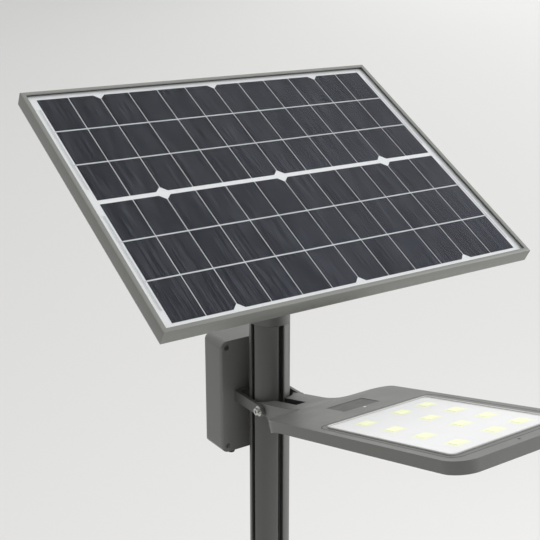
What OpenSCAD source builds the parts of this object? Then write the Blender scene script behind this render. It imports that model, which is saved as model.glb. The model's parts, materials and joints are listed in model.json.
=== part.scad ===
// Solar street lamp: a grooved round mast that carries a tilting solar panel on a
// swivel head, and a height-adjustable carriage with a battery box and a tilting
// flat lamp. Origin: underside centre of the base plate, on the mast's axis.
// +Z is up, the lamp reaches towards -Y and the panel's long side runs along X.

/* [Mast] */
// Outer diameter of the mast
pole_d = 46; // [38:1:60]
// Length of the grooved mast
pole_len = 1500; // [900:10:3000]
// Width of each groove's mouth
slot_w = 6.6; // [5:0.2:8]
// Thickness of the lips beside each mouth
slot_lip = 3; // [2.4:0.1:3.6]
// Width of the chamber behind the lips
chamber_w = 11; // [9.6:0.2:12]
// Depth of each groove from the outer surface
slot_depth = 10; // [8.5:0.25:11]
// Diameter of the screw bore along the middle
pole_bore = 8.6; // [7:0.1:10]

/* [Base] */
// Side of the square base plate
base_w = 280; // [220:5:400]
// Thickness of the base plate
base_t = 12; // [8:1:20]
// Distance between anchor bolt holes
anchor_pitch = 220; // [170:5:330]
// Diameter of the anchor bolt holes
anchor_d = 14; // [10:1:20]
// Height of the socket that holds the mast
socket_h = 120; // [80:5:200]
// Wall of the socket
socket_wall = 5; // [4:0.5:8]
// Thickness of each gusset
gusset_t = 6; // [4:0.5:10]

/* [Panel head] */
// Height of the fixed cap on the mast
cap_h = 12; // [8:1:20]
// Height of the tilt axis above the mast
tilt_rise = 131; // [115:1:170]
// Diameter of the swivel spigot
spigot_d = 20; // [16:1:24]
// Thickness of the tongue between the bracket's ears
tongue_t = 18; // [14:1:24]
// Thickness of each ear of the bracket
ear_t = 5; // [4:0.5:7]
// Diameter of the tilt bolt
tilt_bolt_d = 10; // [8:1:12]
// Distance from the tilt axis to the plane of the cells
axis_to_cells = 43.6; // [40:0.2:60]
// Tilt of the panel at rest
panel_tilt = 30; // [10:1:45]

/* [Panel] */
// Long side of the panel
panel_w = 448; // [400:2:560]
// Short side of the panel
panel_h = 340; // [310:2:420]
// Height of the frame
frame_h = 15; // [14:0.5:25]
// Width of the frame's top lip
frame_lip = 5; // [4:0.5:7]
// Wall of the frame
frame_wall = 1.8; // [1.4:0.1:2.4]
// Thickness of the glass
glass_t = 2; // [1.6:0.1:2.6]
// White margin between the frame's lip and the cells, at the short sides
margin_x = 9; // [6:0.5:14]
// White margin between the frame's lip and the cells, at the long sides
margin_y = 6; // [4:0.5:10]
// White strip between the two strings of cells
string_gap = 6; // [4:0.5:10]
// White line between two cells
cell_gap = 1; // [0.6:0.1:2]
// Cells in each string
cell_columns = 12; // [8:1:16]
// Cells cut from one wafer
wafer_strips = 4; // [2:1:6]
// Cut corner of a wafer
wafer_cut = 6; // [3:0.5:9]

/* [Carriage] */
// Height of the carriage below the mast's top
carriage_drop = 94; // [90:1:400]
// Width of the battery box
box_w = 96; // [80:1:130]
// Depth of the lid
lid_depth = 7; // [6:0.5:12]
// Wall of the battery box
box_wall = 3; // [2:0.25:4]
// Corner radius of the battery box
box_r = 9; // [6:0.5:12]
// Thickness of the strap that holds the box and the lamp
strap_t = 4; // [3:0.25:6]
// Height of the strap
strap_h = 13; // [10:0.5:18]
// Diameter of a battery cell
battery_d = 21.5; // [18:0.5:27]
// Length of a battery cell
battery_len = 70; // [60:0.5:80]
// Height of the charge controller's board
controller_h = 28; // [20:1:40]
// Cells in the battery
battery_count = 3; // [2:1:3]
// Diameter of the power button
button_d = 12; // [10:0.5:16]

/* [Lamp] */
// Tilt of the lamp at rest, tip up
lamp_tilt = 14; // [0:1:20]
// Width of the lamp head
head_w = 157; // [140:1:200]
// Distance from the pivot to the back of the head
head_back = 84; // [76:1:110]
// Distance from the pivot to the front of the head
head_front = 374; // [340:1:460]
// Thickness of the head
head_t = 11.6; // [11:0.2:18]
// Height of the head's top face over the pivot
head_top = 14.6; // [13:0.2:20]
// Radius of the head's front corners
front_r = 22; // [14:1:30]
// Radius of the head's back corners
back_r = 20; // [12:1:40]
// Width of the neck
neck_w = 53; // [50:0.5:60]
// Height of the neck's top over the pivot
neck_top = 7.4; // [4:0.2:10]
// Depth of the neck below the pivot
neck_drop = 22; // [16:0.5:26]
// Width of the light window
window_w = 122; // [100:1:130]
// Length of the light window
window_len = 168; // [140:1:200]
// Distance from the window to the head's front edge
window_front = 28.5; // [22:0.5:40]
// Thickness of the bezel over the window
bezel_t = 2.4; // [2:0.1:3]
// Thickness of the window glass
pane_t = 3; // [2:0.1:3.4]
// Wall of the lamp head
head_wall = 3; // [2.5:0.25:5]
// Side of one light chip
chip_w = 11; // [8:0.5:14]
// Light chips across the head
chip_rows = 3; // [2:1:4]
// Light chips along the head
chip_columns = 4; // [3:1:6]
// Distance between two rows of chips
row_pitch = 38; // [26:0.5:44]
// Distance between two chips in a row
column_pitch = 41.4; // [28:0.2:46]
// Sideways place of the middle row
row_shift = 5; // [0:0.5:8]
// Diameter of the pivot bolts
pivot_d = 6; // [5:0.5:8]

/* [Fits] */
// Radial clearance of a turning fit
run_fit = 0.05; // [0.02:0.01:0.1]
// Gap between faces that slide or swing past each other
slide_gap = 0.3; // [0.2:0.05:0.5]
// Clearance between the lamp's saddle and the mast
saddle_gap = 3.5; // [3.2:0.1:6]

/* [Hidden] */

eps = 0.01;
$fn = 64;

// Heights on the mast
pole_r = pole_d / 2;
pole_top = base_t + pole_len;
carriage_z = pole_top - carriage_drop;
tilt_axis_z = pole_top + tilt_rise;
socket_d = pole_d + 2 * socket_wall;
gusset_h = 0.7 * socket_h;

// Panel head
head_base_z = pole_top + cap_h + slide_gap;
head_drum_h = 70;
spigot_h = 36;
cap_screw_d = 8;
cap_screw_head_h = 7;
set_screw_d = 6;
ear_gap = tongue_t / 2 + slide_gap;
tongue_r = tilt_bolt_d / 2 + 10;
washer_t = 1.6;
ear_outer = ear_gap + ear_t;
bracket_w = 160;
bracket_len = 90;
bracket_t = 4;
rail_h = 8;
rail_w = 24;
rail_x = 66;
rail_t = 2;
rail_inset = 9;
rail_screw_d = 4;
rail_screw_y = panel_h / 2 - rail_inset - 4;
bracket_screw_y = bracket_len / 2 - 12;

// Panel, measured from the plane of the cells
lip_t = 1.2;
frame_top = 2;
pane_top = frame_top - lip_t;
pane_bottom = pane_top - glass_t;
cell_t = 0.3;
backsheet_t = 0.6;
ribbon_t = 0.2;
ribbon_w = 1.6;
bus_w = 3;
shelf_top = pane_bottom - cell_t - backsheet_t;
ribbon_z = shelf_top + backsheet_t - ribbon_t / 2;
shelf_t = 1.2;
shelf_w = 9;
frame_bottom = frame_top - frame_h;
flange_t = 1.5;
flange_w = 17;
seal_t = 1.2;
glass_inset = frame_wall + seal_t;
cells_w = panel_w - 2 * (frame_lip + margin_x);
cells_h = panel_h - 2 * (frame_lip + margin_y);
cell_pitch = cells_w / cell_columns;
string_h = (cells_h - string_gap) / 2;
bracket_top = frame_bottom - rail_h;
bracket_bottom = bracket_top - bracket_t;

// Junction box
jbox_w = 84;
jbox_h = 60;
jbox_depth = 14;
jbox_lid_t = 3;
jbox_wall = 2;
jbox_y = 108;
gland_d = 12;

// Carriage
lid_screw_d = 4;
corner_room = lid_screw_d + 9;
box_side_r = 3;
holder_t = 3;
screw_head_room = 3.5;
box_depth = box_wall + screw_head_room + battery_d + 1 + lid_depth;
box_h = 2 * corner_room + holder_t + battery_len + 2 + 3 + controller_h + 5;
box_front = pole_r + slide_gap + strap_t;
box_back = box_front + box_depth;
lid_front = box_back - lid_depth;
seal_h = 1.2;
arm_inner = max(neck_w / 2 - 0.5, pole_r + 3);
arm_outer = arm_inner + strap_t;
pivot_y = pole_r;
pivot_ear_r = pivot_d / 2 + 4;
neck_end = pivot_d / 2 + 7;
plate_w = pole_d / 2 - 1;
plate_h = 96;
slot_screw_z = 38;
box_screw_z = 19;
slot_screw_d = 5;
box_screw_d = 4;
lid_screw_x = box_w / 2 - 8;
lid_screw_z = box_h / 2 - 8;
battery_pitch = battery_d + 1;
battery_y = lid_front - 0.5 - battery_d / 2;
battery_z = -box_h / 2 + corner_room + 0.5 + holder_t;
button_travel = 2.5;
gland_x = box_w / 4 + 2;
button_y = box_front + box_depth / 2 - 3;

// Lamp, measured from the pivot with +Y reaching forward and +Z out of the lit face
head_bottom = head_top - head_t;
neck_root = arm_inner - slide_gap;
shoulder_f = 112;
cavity_back = head_back + 34;
cavity_front = head_front - head_wall;
cavity_top = head_top - bezel_t;
cover_t = 1.6;
cover_inset = head_wall + slide_gap / 2;
board_t = 1.6;
chip_t = 1;
pane_under = cavity_top - pane_t;
window_back = head_front - window_front - window_len;
window_mid = window_back + window_len / 2;
pane_edge = 4;
cover_top = head_bottom + cover_t;
chip_base_z = cover_top + board_t;
gasket_h = 0.8;
reflector_top = pane_under - gasket_h;
fin_h = 3;
sensor_f = window_back - 46.5;
sensor_x = -3.5;
sensor_w = 46;
sensor_len = 30;
sensor_recess = 1;
indicator_f = window_back - 27.6;
indicator_x = -4;
cable_w = 13.6;
cable_x = 3;
cable_depth = 18;
cable_len = 46;
saddle_r = pole_r + saddle_gap;

// ---------------------------------------------------------------- shared shapes

module rounded_rect(w, h, r) {
    square([w - 2 * r, h], center = true);
    square([w, h - 2 * r], center = true);
    for (x = [-1, 1], y = [-1, 1]) translate([x * (w / 2 - r), y * (h / 2 - r)]) circle(r);
}

module bar(size, at = [0, 0, 0]) translate(at) cube(size, center = true);

// A socket-head screw along +Z: its shank goes down from the seat, its head up
module socket_screw(d, length, head_d, head_h) {
    translate([0, 0, -length]) cylinder(h = length, d = d);
    difference() {
        cylinder(h = head_h, d = head_d);
        translate([0, 0, head_h * 0.4]) cylinder(h = head_h, d = d * 0.7, $fn = 6);
    }
}

module place_panel() {
    translate([0, 0, tilt_axis_z]) rotate([panel_tilt, 0, 0]) translate([0, 0, axis_to_cells]) children();
}

module place_carriage() translate([0, 0, carriage_z]) children();

module place_lamp() {
    translate([0, -pivot_y, carriage_z]) rotate([-lamp_tilt, 0, 0]) rotate([0, 0, 180]) children();
}

// ---------------------------------------------------------------- base and mast

module base_plate() {
    corner_r = 18;
    color("dimgray") difference() {
        linear_extrude(base_t) difference() {
            rounded_rect(base_w, base_w, corner_r);
            for (x = [-1, 1], y = [-1, 1]) translate([x, y] * anchor_pitch / 2) circle(d = anchor_d);
        }
        translate([0, 0, -eps]) cylinder(h = base_t + 2 * eps, d = pole_bore * 2);
    }
}

module base_socket() {
    gusset_out = anchor_pitch * 0.42;
    color("dimgray") translate([0, 0, base_t]) difference() {
        union() {
            cylinder(h = socket_h, d = socket_d);
            for (a = [0 : 90 : 270]) rotate([0, 0, a + 45]) rotate([90, 0, 0])
                translate([0, 0, -gusset_t / 2]) linear_extrude(gusset_t) polygon([
                    [socket_d / 2 - 1, 0], [gusset_out, 0], [gusset_out, 10], [socket_d / 2 + 4, gusset_h],
                    [socket_d / 2 - 1, gusset_h]
                ]);
        }
        translate([0, 0, -eps]) cylinder(h = socket_h + 2 * eps, d = pole_d + 2 * run_fit);
        for (a = [0 : 90 : 270]) rotate([0, 0, a]) translate([pole_r - 1, 0, socket_h - 20])
            rotate([0, 90, 0]) cylinder(h = socket_wall + 2, d = 8);
    }
}

module socket_screws() {
    color("silver") for (a = [0 : 90 : 270]) rotate([0, 0, a])
        translate([socket_d / 2 + 0.5, 0, base_t + socket_h - 20]) rotate([0, 90, 0])
            socket_screw(8 - 2 * run_fit, socket_wall + 0.5 - run_fit, 13, 6);
}

module mast_profile() {
    chamber_top = pole_r - slot_lip;
    chamber_bottom = pole_r - slot_depth;
    difference() {
        circle(pole_r, $fn = 96);
        circle(d = pole_bore);
        for (a = [0 : 90 : 270]) rotate(a) {
            translate([-slot_w / 2, chamber_top - 1]) square([slot_w, slot_lip + 2]);
            translate([-chamber_w / 2, chamber_bottom]) square([chamber_w, chamber_top - chamber_bottom]);
        }
    }
}

module mast() {
    color("#4b4b49") translate([0, 0, base_t]) linear_extrude(pole_len) mast_profile();
}

// Fixed cap with the spigot that the swivel head turns on
module mast_cap() {
    color("#4b4b49") translate([0, 0, pole_top]) difference() {
        union() {
            cylinder(h = cap_h, d = pole_d);
            cylinder(h = cap_h + spigot_h, d = spigot_d);
        }
        translate([0, 0, -eps]) cylinder(h = cap_h + spigot_h + 1, d = cap_screw_d + 2 * run_fit);
    }
}

module cap_screw() {
    color("silver") translate([0, 0, pole_top + cap_h + spigot_h])
        socket_screw(cap_screw_d, cap_h + spigot_h + 24, 13, cap_screw_head_h);
}

// ---------------------------------------------------------------- panel head

module swivel_head() {
    bore_h = spigot_h + cap_screw_head_h + 1;
    drum_top = head_base_z + head_drum_h;
    color("#4b4b49") difference() {
        union() {
            translate([0, 0, head_base_z]) cylinder(h = head_drum_h, d = pole_d);
            rotate([90, 0, 90]) translate([0, 0, -tongue_t / 2]) linear_extrude(tongue_t) {
                translate([-tongue_r, drum_top - 1]) square([2 * tongue_r, tilt_axis_z - drum_top + 1]);
                translate([0, tilt_axis_z]) circle(tongue_r);
            }
        }
        translate([0, 0, head_base_z - 1]) cylinder(h = bore_h + 1, d = spigot_d + 2 * run_fit);
        translate([-tongue_t, 0, tilt_axis_z]) rotate([0, 90, 0])
            cylinder(h = 2 * tongue_t, d = tilt_bolt_d + 2 * run_fit);
        for (s = [0, 180]) rotate([0, 0, s]) translate([0, 0, head_base_z + spigot_h / 2])
            rotate([90, 0, 0]) cylinder(h = pole_d, d = set_screw_d + 2 * run_fit);
    }
}

module swivel_set_screws() {
    tip = spigot_d / 2 + slide_gap;
    color("silver") for (s = [0, 180]) rotate([0, 0, s])
        translate([0, -tip, head_base_z + spigot_h / 2]) rotate([90, 0, 0]) difference() {
            cylinder(h = pole_r - tip + 1, d = set_screw_d);
            translate([0, 0, pole_r - tip - 2]) cylinder(h = 4, d = set_screw_d / 2, $fn = 6);
        }
}

module tilt_bracket() {
    ear_foot = 54;
    color("#5a5a58") place_panel() difference() {
        union() {
            translate([0, 0, bracket_bottom]) linear_extrude(bracket_t)
                rounded_rect(bracket_w, bracket_len, 8);
            for (s = [-1, 1]) translate([s * (ear_gap + ear_t / 2), 0, 0]) rotate([90, 0, 90])
                translate([0, 0, -ear_t / 2]) linear_extrude(ear_t) difference() {
                    union() {
                        translate([0, -axis_to_cells]) circle(tongue_r);
                        polygon([
                            [-ear_foot / 2, bracket_bottom + 1], [ear_foot / 2, bracket_bottom + 1],
                            [ear_foot / 2, bracket_bottom - 2], [tongue_r, -axis_to_cells],
                            [-tongue_r, -axis_to_cells], [-ear_foot / 2, bracket_bottom - 2]
                        ]);
                    }
                    translate([0, -axis_to_cells]) circle(d = tilt_bolt_d + 2 * run_fit);
                }
        }
        for (x = [-1, 1], y = [-1, 1])
            translate([x * rail_x, y * bracket_screw_y, bracket_bottom - 1])
                cylinder(h = bracket_t + 2, d = 6 + 2 * run_fit);
    }
}

module tilt_bolt() {
    length = 2 * (ear_outer + washer_t) + 9;
    color("silver") translate([-ear_outer - washer_t, 0, tilt_axis_z]) rotate([0, -90, 0])
        socket_screw(tilt_bolt_d, length, tilt_bolt_d * 1.7, tilt_bolt_d * 0.7);
}

module tilt_nut() {
    color("silver") translate([ear_outer + washer_t, 0, tilt_axis_z]) rotate([0, 90, 0]) difference() {
        cylinder(h = 8, d = tilt_bolt_d * 1.85, $fn = 6);
        translate([0, 0, -1]) cylinder(h = 10, d = tilt_bolt_d + 2 * run_fit);
    }
}

module tilt_washers() {
    color("silver") for (s = [-1, 1]) translate([s * (ear_outer + washer_t / 2), 0, tilt_axis_z])
        rotate([0, 90, 0]) difference() {
            cylinder(h = washer_t, d = tilt_bolt_d * 2, center = true);
            cylinder(h = washer_t + 1, d = tilt_bolt_d + 2 * run_fit, center = true);
        }
}

// Two channels under the frame, open downwards
module cross_rails() {
    length = panel_h - 2 * rail_inset;
    color("#8a8c8c") place_panel() for (s = [-1, 1]) difference() {
        bar([rail_w, length, rail_h], [s * rail_x, 0, frame_bottom - rail_h / 2]);
        bar([rail_w - 2 * rail_t, length + 2, rail_h], [s * rail_x, 0, frame_bottom - rail_h / 2 - rail_t]);
        for (y = [-1, 1]) {
            translate([s * rail_x, y * bracket_screw_y, frame_bottom - rail_h])
                cylinder(h = rail_h + 1, d = 6 + 2 * run_fit);
            translate([s * rail_x, y * rail_screw_y, frame_bottom - rail_h])
                cylinder(h = rail_h + 1, d = rail_screw_d + 2 * run_fit);
        }
    }
}

module rail_screws() {
    color("silver") place_panel() for (s = [-1, 1], y = [-1, 1]) {
        translate([s * rail_x, y * bracket_screw_y, bracket_bottom]) rotate([180, 0, 0])
            socket_screw(6, bracket_t + rail_h + 1, 10, 6);
        translate([s * rail_x, y * rail_screw_y, frame_bottom - rail_t])
            rotate([180, 0, 0]) socket_screw(rail_screw_d, rail_t + flange_t + 1, 7, 3.2);
    }
}

// ---------------------------------------------------------------- panel

// Section of the frame: x runs inwards from the outer face
module frame_section() {
    polygon([
        [0, frame_top], [frame_lip, frame_top], [frame_lip, pane_top], [frame_wall, pane_top],
        [frame_wall, shelf_top], [shelf_w, shelf_top], [shelf_w, shelf_top - shelf_t],
        [frame_wall, shelf_top - shelf_t], [frame_wall, frame_bottom + flange_t],
        [flange_w, frame_bottom + flange_t], [flange_w, frame_bottom], [0, frame_bottom]
    ]);
}

// One side of the frame along X, its outer face at y = -depth / 2, mitred at both ends
module frame_side(length, depth) {
    difference() {
        intersection() {
            translate([-length / 2, -depth / 2, 0]) rotate([90, 0, 90])
                linear_extrude(length) frame_section();
            translate([0, -depth / 2, frame_bottom - 1]) linear_extrude(frame_h + 2) polygon([
                [-length / 2, 0], [length / 2, 0], [length / 2 - 20, 20], [-length / 2 + 20, 20]
            ]);
        }
        if (length == panel_w) for (s = [-1, 1])
            translate([s * rail_x, -rail_screw_y, frame_bottom - 1])
                cylinder(h = flange_t + 2, d = rail_screw_d + 2 * run_fit);
    }
}

module frame_front() color("#6f716d") place_panel() frame_side(panel_w, panel_h);
module frame_back() color("#6f716d") place_panel() rotate([0, 0, 180]) frame_side(panel_w, panel_h);
module frame_left() color("#6f716d") place_panel() rotate([0, 0, -90]) frame_side(panel_h, panel_w);
module frame_right() color("#6f716d") place_panel() rotate([0, 0, 90]) frame_side(panel_h, panel_w);

// Angle pieces that join the four sides inside the frame
module corner_keys() {
    leg = 34;
    leg_w = 7;
    key_bottom = frame_bottom + flange_t;
    color("silver") place_panel() for (x = [-1, 1], y = [-1, 1])
        translate([x * (panel_w / 2 - frame_wall), y * (panel_h / 2 - frame_wall), key_bottom])
            linear_extrude(shelf_top - shelf_t - key_bottom) {
                translate([x > 0 ? -leg : 0, y > 0 ? -leg_w : 0]) square([leg, leg_w]);
                translate([x > 0 ? -leg_w : 0, y > 0 ? -leg : 0]) square([leg_w, leg]);
            }
}

module edge_seal() {
    color("#222222") place_panel() translate([0, 0, shelf_top])
        linear_extrude(pane_top - shelf_top) difference() {
            square([panel_w - 2 * frame_wall, panel_h - 2 * frame_wall], center = true);
            square([panel_w - 2 * glass_inset, panel_h - 2 * glass_inset], center = true);
        }
}

module panel_glass() {
    color("#30353f") place_panel()
        bar([panel_w - 2 * glass_inset, panel_h - 2 * glass_inset, glass_t], [0, 0, pane_top - glass_t / 2]);
}

// One strip of a wafer, with the wafer's cut corners on its first and last strip
module solar_cell(first, last) {
    w = cell_pitch - cell_gap;
    cut_l = first ? wafer_cut : 0;
    cut_r = last ? wafer_cut : 0;
    linear_extrude(cell_t) polygon([
        [-w / 2 + cut_l, -string_h / 2], [w / 2 - cut_r, -string_h / 2], [w / 2, -string_h / 2 + cut_r],
        [w / 2, string_h / 2 - cut_r], [w / 2 - cut_r, string_h / 2], [-w / 2 + cut_l, string_h / 2],
        [-w / 2, string_h / 2 - cut_l], [-w / 2, -string_h / 2 + cut_l]
    ]);
}

module solar_cells() {
    lead = floor(wafer_strips / 2);
    color("#2b2e38") place_panel() for (row = [-1, 1], i = [0 : cell_columns - 1]) {
        place_in_wafer = (i + lead) % wafer_strips;
        translate([
            (i - (cell_columns - 1) / 2) * cell_pitch,
            row * (string_h + string_gap) / 2,
            pane_bottom - cell_t
        ]) solar_cell(place_in_wafer == 0, place_in_wafer == wafer_strips - 1);
    }
}

module cell_ribbon_places(grow = 0) {
    reach = cells_w + 8;
    for (s = [-1, 1]) translate([0, s * (string_h + string_gap) / 2, 0]) {
        for (k = [-1, 1]) bar([reach, ribbon_w, ribbon_t + grow], [0, k * string_h / 6, 0]);
        for (k = [-1, 1]) bar([bus_w, string_h * 0.8, ribbon_t + grow], [k * (reach + bus_w) / 2, 0, 0]);
    }
}

// Flat wires behind the cells: two along each string, and one at each end
module cell_ribbons() {
    color("silver") place_panel() translate([0, 0, ribbon_z]) cell_ribbon_places();
}

module backsheet() {
    color("white") place_panel() difference() {
        bar([panel_w - 2 * glass_inset, panel_h - 2 * glass_inset, backsheet_t],
            [0, 0, shelf_top + backsheet_t / 2]);
        translate([0, 0, ribbon_z]) cell_ribbon_places(2 * eps);
    }
}

module junction_box() {
    color("#1f1f20") place_panel() translate([0, jbox_y, shelf_top - jbox_depth]) difference() {
        linear_extrude(jbox_depth) rounded_rect(jbox_w, jbox_h, 5);
        translate([0, 0, -1]) linear_extrude(jbox_depth - jbox_wall + 1)
            rounded_rect(jbox_w - 2 * jbox_wall, jbox_h - 2 * jbox_wall, 3);
        translate([0, -jbox_h / 2 + jbox_wall + 1, jbox_depth / 2]) rotate([90, 0, 0])
            cylinder(h = jbox_wall + 4, d = gland_d - 4 + 2 * run_fit);
    }
}

module junction_lid() {
    color("#1f1f20") place_panel() translate([0, jbox_y, shelf_top - jbox_depth - jbox_lid_t]) {
        linear_extrude(jbox_lid_t) rounded_rect(jbox_w, jbox_h, 5);
        translate([0, 0, jbox_lid_t - eps]) linear_extrude(1.5) difference() {
            rounded_rect(jbox_w - 2 * jbox_wall - 0.2, jbox_h - 2 * jbox_wall - 0.2, 3);
            rounded_rect(jbox_w - 2 * jbox_wall - 4, jbox_h - 2 * jbox_wall - 4, 2);
        }
    }
}

// A cable gland along +Z with its thread below the seat
module gland(thread_len) {
    difference() {
        union() {
            translate([0, 0, -thread_len]) cylinder(h = thread_len, d = gland_d - 4);
            cylinder(h = 4, d = gland_d, $fn = 6);
            translate([0, 0, 4]) cylinder(h = 5, d1 = gland_d - 1, d2 = gland_d - 4, $fn = 48);
        }
        translate([0, 0, -thread_len - 1]) cylinder(h = thread_len + 12, d = gland_d - 8);
    }
}

module junction_gland() {
    color("#1f1f20") place_panel()
        translate([0, jbox_y - jbox_h / 2, shelf_top - jbox_depth / 2]) rotate([90, 0, 0]) gland(jbox_wall + 1);
}

// ---------------------------------------------------------------- carriage

// U-shaped strap: a base on the battery box, a plate along the mast and two arms
module carriage_strap() {
    arm_foot = strap_h / 2;
    color("#555553") place_carriage() difference() {
        union() {
            bar([2 * arm_outer, strap_t, strap_h], [0, box_front - strap_t / 2, 0]);
            bar([plate_w, strap_t, plate_h], [0, box_front - strap_t / 2, 0]);
            for (s = [-1, 1]) translate([s * (arm_inner + strap_t / 2), 0, 0]) rotate([90, 0, 90])
                translate([0, 0, -strap_t / 2]) linear_extrude(strap_t) {
                    translate([-pivot_y, 0]) circle(pivot_ear_r);
                    polygon([
                        [box_front, -arm_foot], [box_front, arm_foot], [-pivot_y, pivot_ear_r - 0.5],
                        [-pivot_y, -pivot_ear_r + 0.5]
                    ]);
                }
        }
        translate([-arm_outer - 1, -pivot_y, 0]) rotate([0, 90, 0])
            cylinder(h = 2 * arm_outer + 2, d = pivot_d + 2 * run_fit);
        for (s = [-1, 1]) {
            translate([0, box_front - strap_t - 1, s * slot_screw_z]) rotate([-90, 0, 0]) {
                cylinder(h = strap_t + 2, d = slot_screw_d + 2 * run_fit);
                translate([0, 0, strap_t + 1 - slot_screw_d * 0.5])
                    cylinder(
                        h = slot_screw_d * 0.5 + eps,
                        d1 = slot_screw_d + 2 * run_fit,
                        d2 = slot_screw_d * 2 + 0.1
                    );
            }
            translate([0, box_front - strap_t - 1, s * box_screw_z]) rotate([-90, 0, 0])
                cylinder(h = strap_t + 2, d = box_screw_d + 2 * run_fit);
        }
    }
}

// Nuts that run in the mast's back groove
module slot_nuts() {
    nut_t = slot_depth - slot_lip - 2 * slide_gap - 1;
    nut_w = chamber_w - 2 * slide_gap;
    nut_y = pole_r - slot_lip - slide_gap - nut_t / 2;
    color("silver") place_carriage() for (s = [-1, 1]) difference() {
        bar([nut_w, nut_t, 16], [0, nut_y, s * slot_screw_z]);
        translate([0, nut_y + nut_t, s * slot_screw_z]) rotate([90, 0, 0])
            cylinder(h = 2 * nut_t, d = slot_screw_d + 2 * run_fit);
    }
}

module slot_screws() {
    cone_h = slot_screw_d * 0.5;
    length = strap_t + slide_gap + slot_lip + 5 - cone_h;
    color("silver") place_carriage() for (s = [-1, 1]) translate([0, box_front, s * slot_screw_z])
        rotate([90, 0, 0]) difference() {
            union() {
                cylinder(h = cone_h, d1 = slot_screw_d * 2, d2 = slot_screw_d, $fn = 48);
                translate([0, 0, cone_h - eps]) cylinder(h = length, d = slot_screw_d);
            }
            translate([0, 0, -1]) cylinder(h = 2.6, d = slot_screw_d * 0.6, $fn = 6);
        }
}

// Screws from inside the box into the strap's plate
module box_screws() {
    color("silver") place_carriage() for (s = [-1, 1])
        translate([0, box_front + box_wall, s * box_screw_z]) rotate([-90, 0, 0])
            socket_screw(box_screw_d, box_wall + strap_t - 0.2, 7, 3);
}

// Outer form of the battery box between two depths
module box_form(front, back, grow = 0) {
    r = box_r + grow;
    intersection() {
        translate([0, front, 0]) rotate([-90, 0, 0]) linear_extrude(back - front)
            rounded_rect(box_w + 2 * grow, box_h + 2 * grow, r);
        translate([0, box_front + box_depth / 2, -box_h]) linear_extrude(2 * box_h)
            rounded_rect(box_w + 2 * grow, box_depth + 2 * grow, box_side_r + grow);
    }
}

module lid_screw_places(y) {
    for (x = [-1, 1], z = [-1, 1]) translate([x * lid_screw_x, y, z * lid_screw_z]) children();
}

module battery_box() {
    color("#616260") place_carriage() difference() {
        union() {
            difference() {
                box_form(box_front, lid_front);
                difference() {
                    translate([0, box_front + box_wall, 0]) rotate([-90, 0, 0]) linear_extrude(box_depth)
                        rounded_rect(box_w - 2 * box_wall, box_h - 2 * box_wall, box_r - box_wall);
                    lid_screw_places(box_front) rotate([-90, 0, 0]) cylinder(h = box_depth, d = lid_screw_d + 6);
                }
            }
        }
        lid_screw_places(box_front) {
            translate([0, -1, 0]) rotate([-90, 0, 0]) cylinder(h = box_depth, d = lid_screw_d + 2 * run_fit);
            translate([0, -1, 0]) rotate([-90, 0, 0]) cylinder(h = 3.4, d = lid_screw_d * 1.6);
        }
        for (s = [-1, 1]) translate([0, box_front - 1, s * box_screw_z]) rotate([-90, 0, 0])
            cylinder(h = box_wall + 2, d = box_screw_d + 2 * run_fit);
        for (s = [-1, 1]) translate([s * gland_x, button_y, -box_h / 2 - 1])
            cylinder(h = box_wall + 2, d = gland_d - 4 + 2 * run_fit);
        translate([0, button_y, -box_h / 2 - 1]) cylinder(h = box_wall + 2, d = button_d + 4 + 2 * run_fit);
    }
}

module seal_ring(clearance) {
    difference() {
        rounded_rect(box_w - 1.6 + clearance, box_h - 1.6 + clearance, box_r - 0.8);
        rounded_rect(box_w - 4.4 - clearance, box_h - 4.4 - clearance, box_r - 2.2);
    }
}

module box_seal() {
    color("#1c1c1c") place_carriage() translate([0, lid_front, 0]) rotate([-90, 0, 0])
        linear_extrude(seal_h) seal_ring(0);
}

module box_lid() {
    color("#616260") place_carriage() difference() {
        box_form(lid_front, box_back);
        translate([0, lid_front - 1, 0]) rotate([-90, 0, 0]) linear_extrude(seal_h + 1) seal_ring(0.1);
        translate([0, lid_front - 1, 0]) rotate([-90, 0, 0]) linear_extrude(lid_depth - box_wall + 1)
            rounded_rect(box_w - 4 * box_wall - 2 * lid_screw_d, box_h - 2 * corner_room, box_r - box_wall);
        lid_screw_places(lid_front - 1) rotate([-90, 0, 0]) cylinder(h = 5, d = lid_screw_d + 2 * run_fit);
    }
}

module lid_screws() {
    color("silver") place_carriage() lid_screw_places(box_front + 2.4) rotate([90, 0, 0])
        socket_screw(lid_screw_d, box_depth - lid_depth + 1, lid_screw_d * 1.5, 1.8);
}

module battery_cells() {
    color("#3d7fb5") place_carriage() for (i = [0 : battery_count - 1])
        translate([(i - (battery_count - 1) / 2) * battery_pitch, battery_y, battery_z]) {
            cylinder(h = battery_len, d = battery_d);
            translate([0, 0, battery_len - eps]) cylinder(h = 1.2, d = battery_d * 0.35);
        }
}

// Two cradles under and over the battery
module cell_holder() {
    holder_w = battery_count * battery_pitch + 1;
    wall_y = box_front + box_wall;
    foot_d = lid_front - 1 - wall_y;
    shelf_d = foot_d - screw_head_room;
    color("#2a2a2c") place_carriage() {
        bar([holder_w, foot_d, holder_t], [0, wall_y + foot_d / 2, battery_z - holder_t / 2]);
        difference() {
            bar([holder_w, shelf_d, 2], [0, lid_front - 1 - shelf_d / 2, battery_z + battery_len + 1]);
            for (i = [0 : battery_count - 1])
                translate([(i - (battery_count - 1) / 2) * battery_pitch, battery_y, battery_z + battery_len - 1])
                    cylinder(h = 4, d = battery_d * 0.35 + 0.4);
        }
    }
}

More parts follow.
